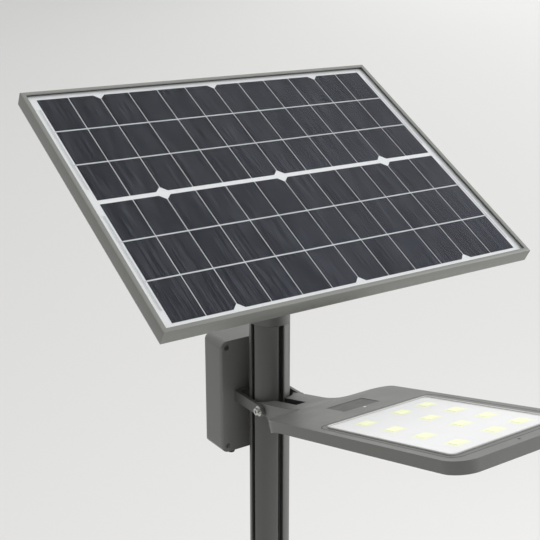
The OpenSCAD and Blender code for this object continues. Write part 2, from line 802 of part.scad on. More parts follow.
module charge_controller() {
    board_w = box_w - 2 * box_wall - 14;
    z = battery_z + battery_len + 5 + controller_h / 2;
    stud_h = 6;
    y = box_front + box_wall + stud_h;
    color("#1f5c3a") place_carriage() {
        bar([board_w, 1.6, controller_h], [0, y + 0.8, z]);
        for (x = [-1, 1]) translate([x * (board_w / 2 - 5), y - stud_h, z]) rotate([-90, 0, 0])
            cylinder(h = stud_h + eps, d = 5);
        bar([18, 9, 18], [-18, y + 6.1 - eps, z]);
        bar([10, 7, 14], [8, y + 5.1 - eps, z]);
        translate([26, y + 1.6 - eps, z]) rotate([-90, 0, 0]) cylinder(h = 12, d = 10);
    }
}

module box_glands() {
    color("#1f1f20") place_carriage() for (s = [-1, 1])
        translate([s * gland_x, button_y, -box_h / 2]) rotate([180, 0, 0]) gland(box_wall + 1);
}

// Sleeve in the floor of the box that guides the button
module button_bezel() {
    color("#1f1f20") place_carriage() translate([0, button_y, -box_h / 2]) difference() {
        union() {
            translate([0, 0, -1.5]) cylinder(h = 1.5, d = button_d + 7);
            cylinder(h = box_wall + 3, d = button_d + 4);
        }
        translate([0, 0, -2]) cylinder(h = box_wall + 3, d = button_d + 2 * run_fit);
    }
}

module power_button() {
    color("#8f1d1d") place_carriage() translate([0, button_y, -box_h / 2 - 2.5])
        cylinder(h = box_wall + 3 - button_travel, d = button_d);
}

module pivot_bolts() {
    inner = pole_r * 0.7;
    color("gainsboro") place_carriage() for (s = [0, 180]) translate([0, -pivot_y, 0]) rotate([0, 0, s])
        translate([arm_outer + washer_t / 2, 0, 0]) rotate([0, 90, 0])
            socket_screw(pivot_d, arm_outer + washer_t / 2 - inner, pivot_d * 1.3, pivot_d * 0.6);
}

module pivot_washers() {
    color("gainsboro") place_carriage() for (s = [-1, 1])
        translate([s * (arm_outer + washer_t / 4), -pivot_y, 0]) rotate([0, 90, 0]) difference() {
            cylinder(h = washer_t / 2, d = pivot_d * 1.9, center = true);
            cylinder(h = washer_t, d = pivot_d + 2 * run_fit, center = true);
        }
}

// ---------------------------------------------------------------- lamp

// Smooth rise from 0 to 1
function ease(t) = t * t * (3 - 2 * t);
function blend_points(f0, z0, f1, z1, steps) =
    [for (i = [0 : steps]) [f0 + (f1 - f0) * i / steps, z0 + (z1 - z0) * ease(i / steps)]];

// Side view of the neck and head
module lamp_side() {
    cut_back = 12;
    polygon(concat(
        [[-neck_end, neck_top], [cable_len * 0.9, neck_top]],
        blend_points(cable_len, neck_top, shoulder_f, head_top, 12),
        [[head_front, head_top], [head_front, head_bottom]],
        blend_points(cavity_back - 4, head_bottom, neck_end + cut_back, -neck_drop, 12),
        [[cut_back, -neck_drop + 3], [cut_back - 4, -neck_end + 3], [-neck_end, -neck_end + 3]]
    ));
}

// Plan view of the neck and head
module lamp_plan() {
    fillet_r = 10;
    mid = (head_back + head_front) / 2;
    for (x = [-1, 1]) {
        translate([x * (head_w / 2 - back_r), head_back + back_r]) circle(back_r);
        translate([x * (head_w / 2 - front_r), head_front - front_r]) circle(front_r);
        translate([x * (neck_w / 2 + fillet_r), head_back - fillet_r]) difference() {
            translate([x > 0 ? -fillet_r - 1 : 0, 0]) square([fillet_r + 1, fillet_r + 1]);
            circle(fillet_r);
        }
    }
    translate([-head_w / 2 + back_r, head_back]) square([head_w - 2 * back_r, head_front - head_back - 1]);
    translate([-head_w / 2 + front_r, mid]) square([head_w - 2 * front_r, head_front - mid]);
    translate([-head_w / 2, head_back + back_r]) square([head_w, head_front - head_back - back_r - front_r]);
    translate([-neck_w / 2, neck_end + 1]) square([neck_w, head_back]);
    translate([-neck_root, -neck_end]) square([2 * neck_root, head_back]);
}

module lamp_cavity_plan(inset) {
    r = max(front_r - inset, 2);
    w = head_w - 2 * inset;
    translate([0, (cavity_back + head_front - inset) / 2])
        rounded_rect(w, head_front - inset - cavity_back, r);
}

module lamp_housing() {
    color("#6a6b67") place_lamp() difference() {
        intersection() {
            translate([-head_w, 0, 0]) rotate([90, 0, 90]) linear_extrude(2 * head_w) lamp_side();
            translate([0, 0, -2 * neck_drop]) linear_extrude(4 * neck_drop) lamp_plan();
        }
        translate([0, 0, -3 * neck_drop]) linear_extrude(cavity_top + 3 * neck_drop) lamp_cavity_plan(head_wall);
        translate([0, window_mid, cavity_top - 1]) linear_extrude(bezel_t + 2)
            rounded_rect(window_w, window_len, 4);
        bar([sensor_w, sensor_len, 2 * sensor_recess], [sensor_x, sensor_f, head_top]);
        bar([sensor_w - 8, sensor_len - 8, 10], [sensor_x, sensor_f, head_top]);
        translate([indicator_x, indicator_f, cavity_top - 1]) cylinder(h = bezel_t + 2, d = 3 + 2 * run_fit);
        bezel_screw_places() translate([0, 0, -bezel_t - 1]) cylinder(h = bezel_t + 3, d = 2.5 + 2 * run_fit);
        bar([cable_w, cable_len + 10, 2 * cable_depth], [cable_x, cable_len / 2 - 5, neck_top]);
        translate([cable_x, cable_len - 1, -2]) rotate([-90, 0, 0]) cylinder(h = cavity_back - cable_len - 8, d = 8);
        bar([10, 24, 12], [0, cavity_back - 4, head_bottom + 2]);
        rotate([-lamp_tilt, 0, 0]) translate([0, -pivot_y, -60]) cylinder(h = 120, r = saddle_r, $fn = 96);
        translate([-head_w, 0, 0]) rotate([0, 90, 0]) cylinder(h = 2 * head_w, d = pivot_d + 2 * run_fit);
    }
}

module lamp_cover() {
    fins = 9;
    fin_len = cavity_front - cavity_back - 60;
    color("#565755") place_lamp() {
        difference() {
            translate([0, 0, head_bottom]) linear_extrude(cover_t) lamp_cavity_plan(cover_inset);
            cover_screw_places() translate([0, 0, head_bottom - 1]) cylinder(h = 5, d = 3 + 2 * run_fit);
        }
        for (i = [0 : fins - 1]) bar([2, fin_len, fin_h + 0.5],
            [(i - (fins - 1) / 2) * 11, (cavity_back + cavity_front) / 2, head_bottom - fin_h / 2 + 0.25]);
    }
}

module cover_screw_places() {
    for (x = [-1, 1], f = [cavity_back + 14, (cavity_back + cavity_front) / 2, cavity_front - 12])
        translate([x * (head_w / 2 - head_wall - 6), f, 0]) children();
}

module cover_screws() {
    color("silver") place_lamp() cover_screw_places() translate([0, 0, head_bottom - 0.01]) rotate([180, 0, 0])
        socket_screw(3, cover_t + 2, 5, 1.2);
}

module chip_places() {
    for (i = [0 : chip_rows - 1], k = [0 : chip_columns - 1])
        translate([
            (i - (chip_rows - 1) / 2) * row_pitch - row_shift,
            window_mid - 2 + (k - (chip_columns - 1) / 2) * column_pitch, 0
        ]) children();
}

module led_board() {
    color("#e9ebe6") place_lamp()
        bar([window_w + 4, window_len + 4, board_t], [0, window_mid, cover_top + board_t / 2]);
}

module led_chips() {
    color("#f2f6a8") place_lamp() chip_places() {
        bar([chip_w + 4, chip_w + 4, 0.5], [0, 0, chip_base_z + 0.25]);
        bar([chip_w, chip_w, chip_t - 0.5 + eps], [0, 0, chip_base_z + chip_t / 2 + 0.25]);
    }
}

// White plate with a dished hole around each chip
module reflector() {
    color("white") place_lamp() difference() {
        bar([window_w + 4, window_len + 4, reflector_top - chip_base_z],
            [0, window_mid, (reflector_top + chip_base_z) / 2]);
        chip_places() translate([0, 0, chip_base_z - eps])
            cylinder(h = reflector_top - chip_base_z + 2 * eps, d1 = chip_w * 1.95, d2 = chip_w * 2.4, $fn = 48);
    }
}

module window_gasket() {
    color("#2a2a2a") place_lamp() translate([0, window_mid, reflector_top]) linear_extrude(gasket_h) difference() {
        rounded_rect(window_w + 2 * pane_edge, window_len + 2 * pane_edge, 6);
        rounded_rect(window_w, window_len, 4);
    }
}

module lamp_window() {
    color("#f4f5f2") place_lamp() translate([0, window_mid, pane_under]) linear_extrude(pane_t)
        rounded_rect(window_w + 2 * pane_edge, window_len + 2 * pane_edge, 6);
}

module driver_board() {
    f = (cavity_back + window_back) / 2 - 3;
    top = cover_top + 1.6;
    color("#1f5c3a") place_lamp() {
        bar([70, window_back - cavity_back - 16, 1.6], [0, f, cover_top + 0.8]);
        bar([14, 12, 3], [-22, f, top + 1.5 - eps]);
        bar([9, 9, 2.5], [4, f + 6, top + 1.25 - eps]);
        translate([22, f, top - eps]) cylinder(h = 3.5, d = 9);
    }
}

module sensor_window() {
    color("#565855") place_lamp() {
        bar([sensor_w - 0.4, sensor_len - 0.4, sensor_recess - 0.3],
            [sensor_x, sensor_f, head_top - sensor_recess + (sensor_recess - 0.3) / 2]);
        bar([sensor_w - 8.4, sensor_len - 8.4, bezel_t - sensor_recess],
            [sensor_x, sensor_f, head_top - sensor_recess - (bezel_t - sensor_recess) / 2]);
    }
}

module indicator_lens() {
    color("white") place_lamp() translate([indicator_x, indicator_f, cavity_top])
        cylinder(h = bezel_t + 0.3, d = 3);
}

module bezel_screw_places() {
    translate([2, head_front - 9, head_top]) children();
    translate([-12, head_back + 8, head_top - 2.1]) children();
}

module bezel_screws() {
    color("dimgray") place_lamp() bezel_screw_places() translate([0, 0, 0.4]) rotate([180, 0, 0])
        cylinder(h = bezel_t + 1, d = 2.5);
}

module lamp_gland() {
    color("#1f1f20") place_lamp() translate([cable_x, cable_len, -2]) rotate([90, 0, 0]) difference() {
        union() {
            translate([0, 0, -6]) cylinder(h = 6, d = 8 - 2 * run_fit);
            cylinder(h = 5, d = 9.6, $fn = 6);
        }
        translate([0, 0, -7]) cylinder(h = 14, d = 4.4);
    }
}

base_plate();
base_socket();
socket_screws();
mast();
mast_cap();
cap_screw();
swivel_head();
swivel_set_screws();
tilt_bracket();
tilt_bolt();
tilt_nut();
tilt_washers();
cross_rails();
rail_screws();
frame_front();
frame_back();
frame_left();
frame_right();
corner_keys();
edge_seal();
panel_glass();
solar_cells();
cell_ribbons();
backsheet();
junction_box();
junction_lid();
junction_gland();
carriage_strap();
slot_nuts();
slot_screws();
box_screws();
battery_box();
box_seal();
box_lid();
lid_screws();
battery_cells();
cell_holder();
charge_controller();
box_glands();
button_bezel();
power_button();
pivot_bolts();
pivot_washers();
lamp_housing();
lamp_cover();
cover_screws();
led_board();
led_chips();
reflector();
window_gasket();
lamp_window();
driver_board();
sensor_window();
indicator_lens();
bezel_screws();
lamp_gland();
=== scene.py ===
"""Looks of a solar street lamp: mast, tilting panel, battery box and flat lamp head.

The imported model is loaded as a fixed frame. Every piece below lies where that frame says, rides on
one of its bodies and gets a node-based finish. Lengths are in metres, angles in degrees.
"""

import json  # noqa: E402
import logging  # noqa: E402
import math  # noqa: E402
from dataclasses import dataclass, field  # noqa: E402
from enum import Enum  # noqa: E402

import bmesh  # noqa: E402
import bpy  # noqa: E402
import numpy as np  # noqa: E402
from mathutils import Matrix, Vector  # noqa: E402
from mathutils.geometry import tessellate_polygon  # noqa: E402


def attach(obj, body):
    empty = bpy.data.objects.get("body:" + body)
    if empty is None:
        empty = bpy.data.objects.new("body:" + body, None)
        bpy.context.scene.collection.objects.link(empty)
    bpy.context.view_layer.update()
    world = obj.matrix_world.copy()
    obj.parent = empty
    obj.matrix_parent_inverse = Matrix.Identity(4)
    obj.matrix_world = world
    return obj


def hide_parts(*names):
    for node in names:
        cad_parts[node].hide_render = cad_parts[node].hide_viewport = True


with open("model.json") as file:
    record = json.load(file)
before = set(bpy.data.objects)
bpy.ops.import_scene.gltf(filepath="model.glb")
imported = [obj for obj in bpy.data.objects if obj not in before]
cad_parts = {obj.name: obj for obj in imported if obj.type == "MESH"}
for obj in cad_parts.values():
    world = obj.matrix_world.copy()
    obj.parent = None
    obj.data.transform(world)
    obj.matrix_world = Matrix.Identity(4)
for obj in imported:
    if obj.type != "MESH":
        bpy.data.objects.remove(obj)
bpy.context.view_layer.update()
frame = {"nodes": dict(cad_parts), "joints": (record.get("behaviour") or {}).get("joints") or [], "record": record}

MM = 0.001
SHARP = math.radians(40)
Array = np.ndarray
Colour = tuple[float, float, float]
log = logging.getLogger("street_lamp")


# ---------------------------------------------------------------- places


def shifted(x: float, y: float, z: float) -> Array:
    """A 4 x 4 matrix that moves by x, y and z metres."""
    matrix = np.eye(4)
    matrix[:3, 3] = (x, y, z)
    return matrix


def turned(axis: str, degrees: float) -> Array:
    """A 4 x 4 matrix that turns about the X, Y or Z axis by the right-hand rule."""
    return np.array(Matrix.Rotation(math.radians(degrees), 4, axis))


def joint_place(name: str) -> Vector:
    """The point that a joint turns about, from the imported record."""
    return Vector(next(j for j in frame["joints"] if j["name"] == name)["pos_m"])


PANEL_TILT = 30.0
LAMP_TILT = 14.0
AXIS_TO_CELLS = 43.6 * MM
PANEL_PLACE = shifted(*joint_place("panel_tilt")) @ turned("X", PANEL_TILT) @ shifted(0, 0, AXIS_TO_CELLS)
LAMP_PLACE = shifted(*joint_place("lamp_tilt")) @ turned("X", -LAMP_TILT) @ turned("Z", 180)


# ---------------------------------------------------------------- finishes


class Graph:
    """A material's node tree, with short calls to add and join nodes."""

    def __init__(self, name: str, material: bpy.types.Material | None = None) -> None:
        """Starts a material with a Principled shader on its output, or takes up one that has it.

        Args:
            name: Name of the new material.
            material: A material to go on with instead.
        """
        self.material = material or bpy.data.materials.new(name)
        self.material.use_nodes = True
        self.tree = self.material.node_tree
        self.shader = self.tree.nodes["Principled BSDF"]
        self.output = self.tree.nodes["Material Output"]
        self.coordinates = self.add("ShaderNodeTexCoord").outputs["Object"]

    def add(self, kind: str, values: dict[str | int, object] | None = None, **settings: object) -> bpy.types.Node:
        """Adds a node.

        Args:
            kind: The node's type name.
            values: Values of its input sockets by name or number; a socket is joined instead.
            settings: Properties of the node itself.

        Returns:
            The new node.
        """
        node = self.tree.nodes.new(kind)
        for key, value in settings.items():
            setattr(node, key, value)
        for key, value in (values or {}).items():
            self.set(node.inputs[key], value)
        return node

    def set(self, socket: bpy.types.NodeSocket, value: object) -> None:
        """Joins a socket to value if that is an output, else stores it as the socket's own value."""
        if isinstance(value, bpy.types.NodeSocket):
            self.tree.links.new(value, socket)
        else:
            socket.default_value = value

    def maths(self, operation: str, a: object, b: object = 0.0, c: object = 0.0) -> bpy.types.NodeSocket:
        """The result of a Math node on up to three numbers or sockets."""
        return self.add("ShaderNodeMath", {0: a, 1: b, 2: c}, operation=operation).outputs[0]

    def mapped(self, place: Array | None = None, scale: Colour = (1, 1, 1)) -> bpy.types.NodeSocket:
        """Object coordinates in a piece's own directions.

        Args:
            place: The matrix that put the piece's own plane in the row frame.
            scale: Factors on the three coordinates afterwards.

        Returns:
            The output that holds the coordinates.
        """
        vector = self.coordinates
        if place is not None:
            back = Matrix(place.tolist()).inverted()
            vector = self.add("ShaderNodeMapping", {
                "Vector": vector, "Location": back.translation, "Rotation": back.to_euler(),
            }).outputs[0]
        return self.add("ShaderNodeMapping", {"Vector": vector, "Scale": scale}).outputs[0]

    def noise(self, vector: object, scale: float, detail: float = 3, rough: float = 0.55) -> bpy.types.NodeSocket:
        """A noise value around 0.5 at the given scale."""
        return self.add("ShaderNodeTexNoise", {
            "Vector": vector, "Scale": scale, "Detail": detail, "Roughness": rough,
        }).outputs["Fac"]

    def spread(self, fac: object, low: float, high: float) -> bpy.types.NodeSocket:
        """Maps 0.3 to 0.7 of a noise value onto low to high."""
        return self.add("ShaderNodeMapRange", {
            "Value": fac, "From Min": 0.3, "From Max": 0.7, "To Min": low, "To Max": high,
        }).outputs[0]

    def mixed(self, fac: object, a: object, b: object) -> bpy.types.NodeSocket:
        """A colour between a and b."""
        node = self.add("ShaderNodeMix", data_type="RGBA")
        for socket, value in zip((node.inputs[0], node.inputs[6], node.inputs[7]), (fac, a, b)):
            self.set(socket, value)
        return node.outputs[2]

    def bumped(self, height: object, strength: float, distance: float) -> None:
        """Gives the main shader a bump from a height value."""
        bump = self.add("ShaderNodeBump", {"Height": height, "Strength": strength, "Distance": distance})
        self.set(self.shader.inputs["Normal"], bump.outputs[0])


def rgba(colour: Colour) -> tuple[float, float, float, float]:
    """The colour with full alpha."""
    return (*colour, 1.0)


def scaled(colour: Colour, factor: float) -> tuple[float, float, float, float]:
    """The colour times a factor, with full alpha."""
    return tuple(min(1.0, c * factor) for c in colour) + (1.0,)


MADE: dict[str, bpy.types.Material] = {}


@dataclass(frozen=True)
class Finish:
    """A solid finish with soft tone variation, uneven gloss and a fine grain."""

    name: str
    colour: Colour
    roughness: float = 0.45
    metallic: float = 0.0
    mottle: float = 0.08
    mottle_scale: float = 30.0
    gloss_spread: float = 0.06
    grain: float = 0.12
    grain_scale: float = 2500.0
    grain_depth: float = 0.00005
    stretch: Colour = (1, 1, 1)
    specular: float = 0.5
    coat: float = 0.0

    def material(self) -> bpy.types.Material:
        """The finish's material, made once."""
        if self.name not in MADE:
            MADE[self.name] = self.make()
        return MADE[self.name]

    def make(self) -> bpy.types.Material:
        """Builds the node tree: two noises for tone, one for gloss and one for grain."""
        graph = Graph(self.name)
        vector = graph.mapped(scale=self.stretch)
        cloud = graph.noise(vector, self.mottle_scale, 4)
        speck = graph.noise(vector, self.mottle_scale * 14, 2)
        tone = graph.maths("MULTIPLY_ADD", speck, 0.35, graph.maths("MULTIPLY", cloud, 0.65))
        low, high = scaled(self.colour, 1 - self.mottle), scaled(self.colour, 1 + self.mottle)
        colour = graph.mixed(graph.spread(tone, 0, 1), low, high)
        graph.set(graph.shader.inputs["Base Color"], colour)
        gloss = graph.spread(cloud, self.roughness - self.gloss_spread, self.roughness + self.gloss_spread)
        graph.set(graph.shader.inputs["Roughness"], gloss)
        graph.shader.inputs["Metallic"].default_value = self.metallic
        graph.shader.inputs["Specular IOR Level"].default_value = self.specular
        graph.shader.inputs["Coat Weight"].default_value = self.coat
        if self.grain:
            graph.bumped(graph.noise(vector, self.grain_scale, 2), self.grain, self.grain_depth)
        return graph.material


@dataclass(frozen=True)
class CellFinish(Finish):
    """Silicon wafers: a tone for each strip, soft finger lines, pale streaks, a slow drift of hue, and painted shade
    that darkens the cells towards the panel's -x end and its +y edge.
    """

    pitch: float = 35 * MM
    finger: float = 2.7 * MM
    first: float = -210 * MM
    near: float = -160 * MM
    rows: float = 6.0
    # Colour of the painted shade that darkens the cells towards the panel's -x end and +y edge.
    shade: Colour = (0.008, 0.009, 0.012)
    warm: tuple[Colour, Colour] = ((0.032, 0.032, 0.039), (0.041, 0.041, 0.050))
    glint: Colour = (0.16, 0.17, 0.20)

    def make(self) -> bpy.types.Material:
        """Builds the node tree from the panel's own x and y."""
        graph = Graph(self.name)
        split = graph.add("ShaderNodeSeparateXYZ", {0: graph.mapped(PANEL_PLACE)}).outputs
        steps = graph.maths("DIVIDE", graph.maths("SUBTRACT", split[0], self.first), self.pitch)
        column = graph.maths("FLOOR", steps)
        row = graph.maths("FLOOR", graph.maths("MULTIPLY", split[1], self.rows))
        seed = graph.add("ShaderNodeCombineXYZ", {0: column, 1: row}).outputs[0]
        strip = graph.add("ShaderNodeTexWhiteNoise", {"Vector": seed}, noise_dimensions="3D").outputs[0]
        drift = graph.noise(graph.mapped(PANEL_PLACE, (5, 9, 1)), 1.6, 3)
        blue = graph.mixed(strip, scaled(self.colour, 0.86), scaled(self.colour, 1.16))
        grey = graph.mixed(strip, *(rgba(colour) for colour in self.warm))
        base = graph.mixed(graph.spread(drift, 0.0, 0.7), blue, grey)
        # Painted shade: the share of the shade colour grows towards the -x end and the +y edge of the cells.
        ends = ((split[0], self.first, 0.42, 0.0), (split[1], self.near, 0.0, 0.3))
        painted_shade_share = graph.maths("ADD", *(graph.add("ShaderNodeMapRange", {
            "Value": output, "From Min": low, "From Max": -low, "To Min": begin, "To Max": end,
        }).outputs[0] for output, low, begin, end in ends))
        base = graph.mixed(painted_shade_share, base, rgba(self.shade))
        wave = graph.maths("SINE", graph.maths("MULTIPLY", split[0], 2 * math.pi / self.finger))
        streak = graph.noise(graph.mapped(PANEL_PLACE, (1, 0.05, 1)), 420, 2)
        line = graph.maths("MULTIPLY_ADD", wave, 0.06, graph.spread(streak, -0.08, 0.26))
        graph.set(graph.shader.inputs["Base Color"], graph.mixed(
            graph.maths("MAXIMUM", line, 0.0), base, rgba(self.glint)))
        graph.set(graph.shader.inputs["Roughness"], graph.spread(drift, 0.26, 0.38))
        graph.shader.inputs["Specular IOR Level"].default_value = self.specular
        return graph.material


@dataclass(frozen=True)
class PaneFinish(Finish):
    """Clear glass: mostly see-through, with a mirror share that grows at low angles."""

    clear: float = 0.98
    least: float = 0.002
    most: float = 0.05

    def make(self) -> bpy.types.Material:
        """Mixes a Transparent and a Glossy shader; the mirror share is least + (most - least) facing^4."""
        graph = Graph(self.name)
        graph.tree.nodes.remove(graph.shader)
        cloud = graph.noise(graph.coordinates, self.mottle_scale, 3)
        gloss = graph.spread(cloud, self.roughness, self.roughness + self.gloss_spread)
        through = graph.add("ShaderNodeBsdfTransparent", {"Color": scaled(self.colour, self.clear)})
        mirror = graph.add("ShaderNodeBsdfGlossy", {"Color": (1, 1, 1, 1), "Roughness": gloss})
        facing = graph.add("ShaderNodeLayerWeight", {"Blend": 0.5}).outputs["Facing"]
        share = graph.maths("MULTIPLY_ADD", graph.maths("POWER", facing, 4.0), self.most - self.least, self.least)
        mix = graph.add("ShaderNodeMixShader", {0: share, 1: through.outputs[0], 2: mirror.outputs[0]})
        graph.set(graph.output.inputs["Surface"], mix.outputs[0])
        return graph.material


@dataclass(frozen=True)
class GlowFinish(Finish):
    """A solid finish that also gives off a little light of its own."""

    glow: Colour = (1, 1, 1)
    strength: float = 0.3

    def make(self) -> bpy.types.Material:
        """Adds emission to the solid finish."""
        material = super().make()
        shader = material.node_tree.nodes["Principled BSDF"]
        shader.inputs["Emission Color"].default_value = rgba(self.glow)
        shader.inputs["Emission Strength"].default_value = self.strength
        return material


@dataclass(frozen=True)
class ChipGlowFinish(GlowFinish):
    """A white plate with a soft yellow-green square around each chip, and a faint glow of its own that is painted
    light, since the plate is no lamp.
    """

    rows: tuple[float, ...] = (37.5 * MM, -6.5 * MM, -38 * MM)
    first: float = 204 * MM
    pitch: float = 41.2 * MM
    tint: Colour = (0.88, 0.92, 0.55)
    solid: float = 5 * MM
    gone: float = 11 * MM
    blend: float = 3 * MM

    def make(self) -> bpy.types.Material:
        """Tints the plate by 1 minus the larger distance along x or y from the nearest chip, from solid to gone."""
        graph = Graph(self.name, super().make())
        split = graph.add("ShaderNodeSeparateXYZ", {0: graph.mapped(LAMP_PLACE)}).outputs
        across = [graph.maths("ABSOLUTE", graph.maths("SUBTRACT", split[0], row)) for row in self.rows]
        nearest = graph.maths("MINIMUM", graph.maths("MINIMUM", across[0], across[1]), across[2])
        steps = graph.maths("DIVIDE", graph.maths("SUBTRACT", split[1], self.first), self.pitch)
        along = graph.maths("ABSOLUTE", graph.maths("SUBTRACT", steps, graph.maths("ROUND", steps)))
        away = graph.maths("SMOOTH_MAX", nearest, graph.maths("MULTIPLY", along, self.pitch), self.blend)
        share = graph.add("ShaderNodeMapRange", {
            "Value": away, "From Min": self.solid, "From Max": self.gone, "To Min": 1.0, "To Max": 0.0,
        }, interpolation_type="SMOOTHSTEP").outputs[0]
        old = graph.shader.inputs["Base Color"].links[0].from_socket
        graph.set(graph.shader.inputs["Base Color"], graph.mixed(share, old, rgba(self.tint)))
        return graph.material


@dataclass(frozen=True)
class FloorFinish(Finish):
    """A pale floor with painted light: its tone grows lighter along one direction over a few metres, standing in for
    light that falls off across the studio.
    """

    along: Colour = (0.83, -0.56, 0.0)
    reach: float = 9.0
    painted_light_change: float = 0.2

    def make(self) -> bpy.types.Material:
        """Mixes two tones by the distance along the direction, between -reach and reach."""
        graph = Graph(self.name)
        way = graph.add("ShaderNodeVectorMath", {0: graph.coordinates, 1: self.along}, operation="DOT_PRODUCT")
        # Painted light: the floor's colour brightens along the direction.
        step = graph.add("ShaderNodeMapRange", {
            "Value": way.outputs["Value"], "From Min": -self.reach, "From Max": self.reach,
        }, interpolation_type="SMOOTHSTEP").outputs[0]
        low, high = scaled(self.colour, 1 - self.painted_light_change), scaled(self.colour, 1 + self.painted_light_change)
        graph.set(graph.shader.inputs["Base Color"], graph.mixed(step, low, high))
        graph.shader.inputs["Roughness"].default_value = self.roughness
        graph.shader.inputs["Specular IOR Level"].default_value = self.specular
        return graph.material


class Look(Enum):
    """Every finish on the lamp."""

    PROFILE = Finish("dark_profile", (0.125, 0.126, 0.122), 0.40, 0.3, 0.05, 6, 0.05, 0.10, 900, 0.00006,
                     stretch=(1, 1, 0.02))
    HOUSING = Finish("housing_paint", (0.172, 0.174, 0.166), 0.44, 0.15, 0.05, 40, 0.05, 0.22, 1700, 0.00005)
    FRAME = Finish("frame_anodised", (0.22, 0.225, 0.21), 0.42, 0.45, 0.06, 12, 0.05, 0.10, 1400, 0.00004,
                   stretch=(0.15, 1, 1))
    BASE = Finish("base_paint", (0.09, 0.091, 0.088), 0.5, 0.1, 0.12, 14, 0.08, 0.3, 900, 0.0001)
    STEEL_DARK = Finish("dark_zinc", (0.16, 0.16, 0.155), 0.38, 0.9, 0.15, 180, 0.08, 0.1, 2600, 0.00003)
    STEEL = Finish("bright_steel", (0.6, 0.6, 0.58), 0.28, 1.0, 0.08, 220, 0.06, 0.08, 2600, 0.00002)
    PLASTIC = Finish("black_plastic", (0.022, 0.022, 0.023), 0.48, 0.0, 0.18, 90, 0.06, 0.3, 1500, 0.00006)
    RUBBER = Finish("seal_rubber", (0.016, 0.016, 0.016), 0.75, 0.0, 0.2, 80, 0.05, 0.3, 900, 0.00006)
    CELL = CellFinish("silicon_cells", (0.044, 0.049, 0.064), 0.3, specular=0.03)
    GLASS = PaneFinish("panel_glass", (1, 1, 1), 0.05, gloss_spread=0.04, mottle_scale=8)
    WINDOW = PaneFinish("lamp_window", (1, 1, 1), 0.04, gloss_spread=0.05, mottle_scale=14)
    BACKSHEET = Finish("white_backsheet", (0.82, 0.84, 0.86), 0.5, 0.0, 0.02, 16, 0.05, 0.1, 600, 0.00005)
    RIBBON = Finish("tinned_ribbon", (0.60, 0.62, 0.65), 0.42, 0.3, 0.1, 90, 0.06, 0.1, 1500, 0.00003)
    BOARD = Finish("solder_mask", (0.02, 0.11, 0.05), 0.35, 0.0, 0.2, 120, 0.06)
    WHITE_BOARD = Finish("white_board", (0.82, 0.82, 0.8), 0.45, 0.0, 0.03, 90, 0.05)
    WRAP = Finish("battery_wrap", (0.05, 0.2, 0.45), 0.3, 0.0, 0.08, 60, 0.05)
    CHIP = GlowFinish("phosphor", (0.9, 0.93, 0.6), 0.4, glow=(0.98, 1.0, 0.72), strength=0.17)
    SENSOR = Finish("smoked_plate", (0.062, 0.062, 0.06), 0.42, 0.0, 0.08, 60, 0.05, 0.1, 1500, 0.00003,
                    specular=0.3)
    # Painted light: the lens plate is no lamp, yet its faint white glow makes it look brighter.
    LENS_PLATE_PAINTED_GLOW = ChipGlowFinish("lens_plate", (0.80, 0.81, 0.81), 0.38, mottle=0.03, glow=(1, 1, 1), strength=0.09)
    SILICONE = Finish("pale_silicone", (0.66, 0.66, 0.65), 0.55, 0.0, 0.04, 120, 0.05)
    BUTTON = Finish("red_button", (0.33, 0.02, 0.02), 0.35, 0.0, 0.1, 120, 0.05)
    LENS = Finish("frosted_lens", (0.82, 0.83, 0.84), 0.3, 0.0, 0.03, 300, 0.05)
    FLOOR = FloorFinish("pale_floor", (0.78, 0.78, 0.775), 0.7, specular=0.1)


# ---------------------------------------------------------------- shapes


def left_normals(outline: Array) -> Array:
    """Mitred unit normals on the left of a closed outline, which is its inside if it runs anticlockwise."""
    ahead = np.roll(outline, -1, axis=0) - outline
    ahead /= np.linalg.norm(ahead, axis=1)[:, None]
    left = np.stack([-ahead[:, 1], ahead[:, 0]], axis=1)
    both = left + np.roll(left, 1, axis=0)
    return both / np.maximum(0.25, (both**2).sum(1) / 2)[:, None]


def round_corners(corners: Array, radii: Array | float, steps: int = 5) -> Array:
    """A polygon whose corners are arcs.

    Each arc touches both sides of its corner, radius / tan(half the angle) away from it.

    Args:
        corners: The polygon's corners, n by 2.
        radii: One radius, or one for each corner.
        steps: Spans in each arc.

    Returns:
        The rounded outline, without repeated points.
    """
    radii = np.broadcast_to(np.asarray(radii, float), (len(corners),))
    back = np.roll(corners, 1, axis=0) - corners
    on = np.roll(corners, -1, axis=0) - corners
    back /= np.linalg.norm(back, axis=1)[:, None]
    on /= np.linalg.norm(on, axis=1)[:, None]
    half = np.arccos(np.clip((back * on).sum(1), -1, 1)) / 2
    middle = back + on
    middle /= np.maximum(np.linalg.norm(middle, axis=1), 1e-9)[:, None]
    centres = corners + middle * (radii / np.sin(half))[:, None]
    begin = corners + back * (radii / np.tan(half))[:, None] - centres
    end = corners + on * (radii / np.tan(half))[:, None] - centres
    first = np.arctan2(begin[:, 1], begin[:, 0])
    sweep = (np.arctan2(end[:, 1], end[:, 0]) - first + math.pi) % (2 * math.pi) - math.pi
    angles = first[:, None] + sweep[:, None] * np.linspace(0, 1, steps + 1)
    arcs = centres[:, None] + radii[:, None, None] * np.stack([np.cos(angles), np.sin(angles)], axis=-1)
    points = arcs.reshape(-1, 2)
    keep = np.linalg.norm(points - np.roll(points, 1, axis=0), axis=1) > 1e-7
    return points[keep]


def rectangle(width: float, height: float, radius: float, steps: int = 6, at: tuple[float, float] = (0, 0)) -> Array:
    """An anticlockwise rectangle with round corners around a point."""
    corners = np.array([[-1, -1], [1, -1], [1, 1], [-1, 1]]) * (width / 2, height / 2) + at
    return round_corners(corners, radius, steps)


def circle(radius: float, count: int = 48, at: tuple[float, float] = (0, 0)) -> Array:
    """An anticlockwise circle of count points."""
    angles = np.arange(count) * 2 * math.pi / count
    return np.stack([np.cos(angles), np.sin(angles)], axis=1) * radius + at


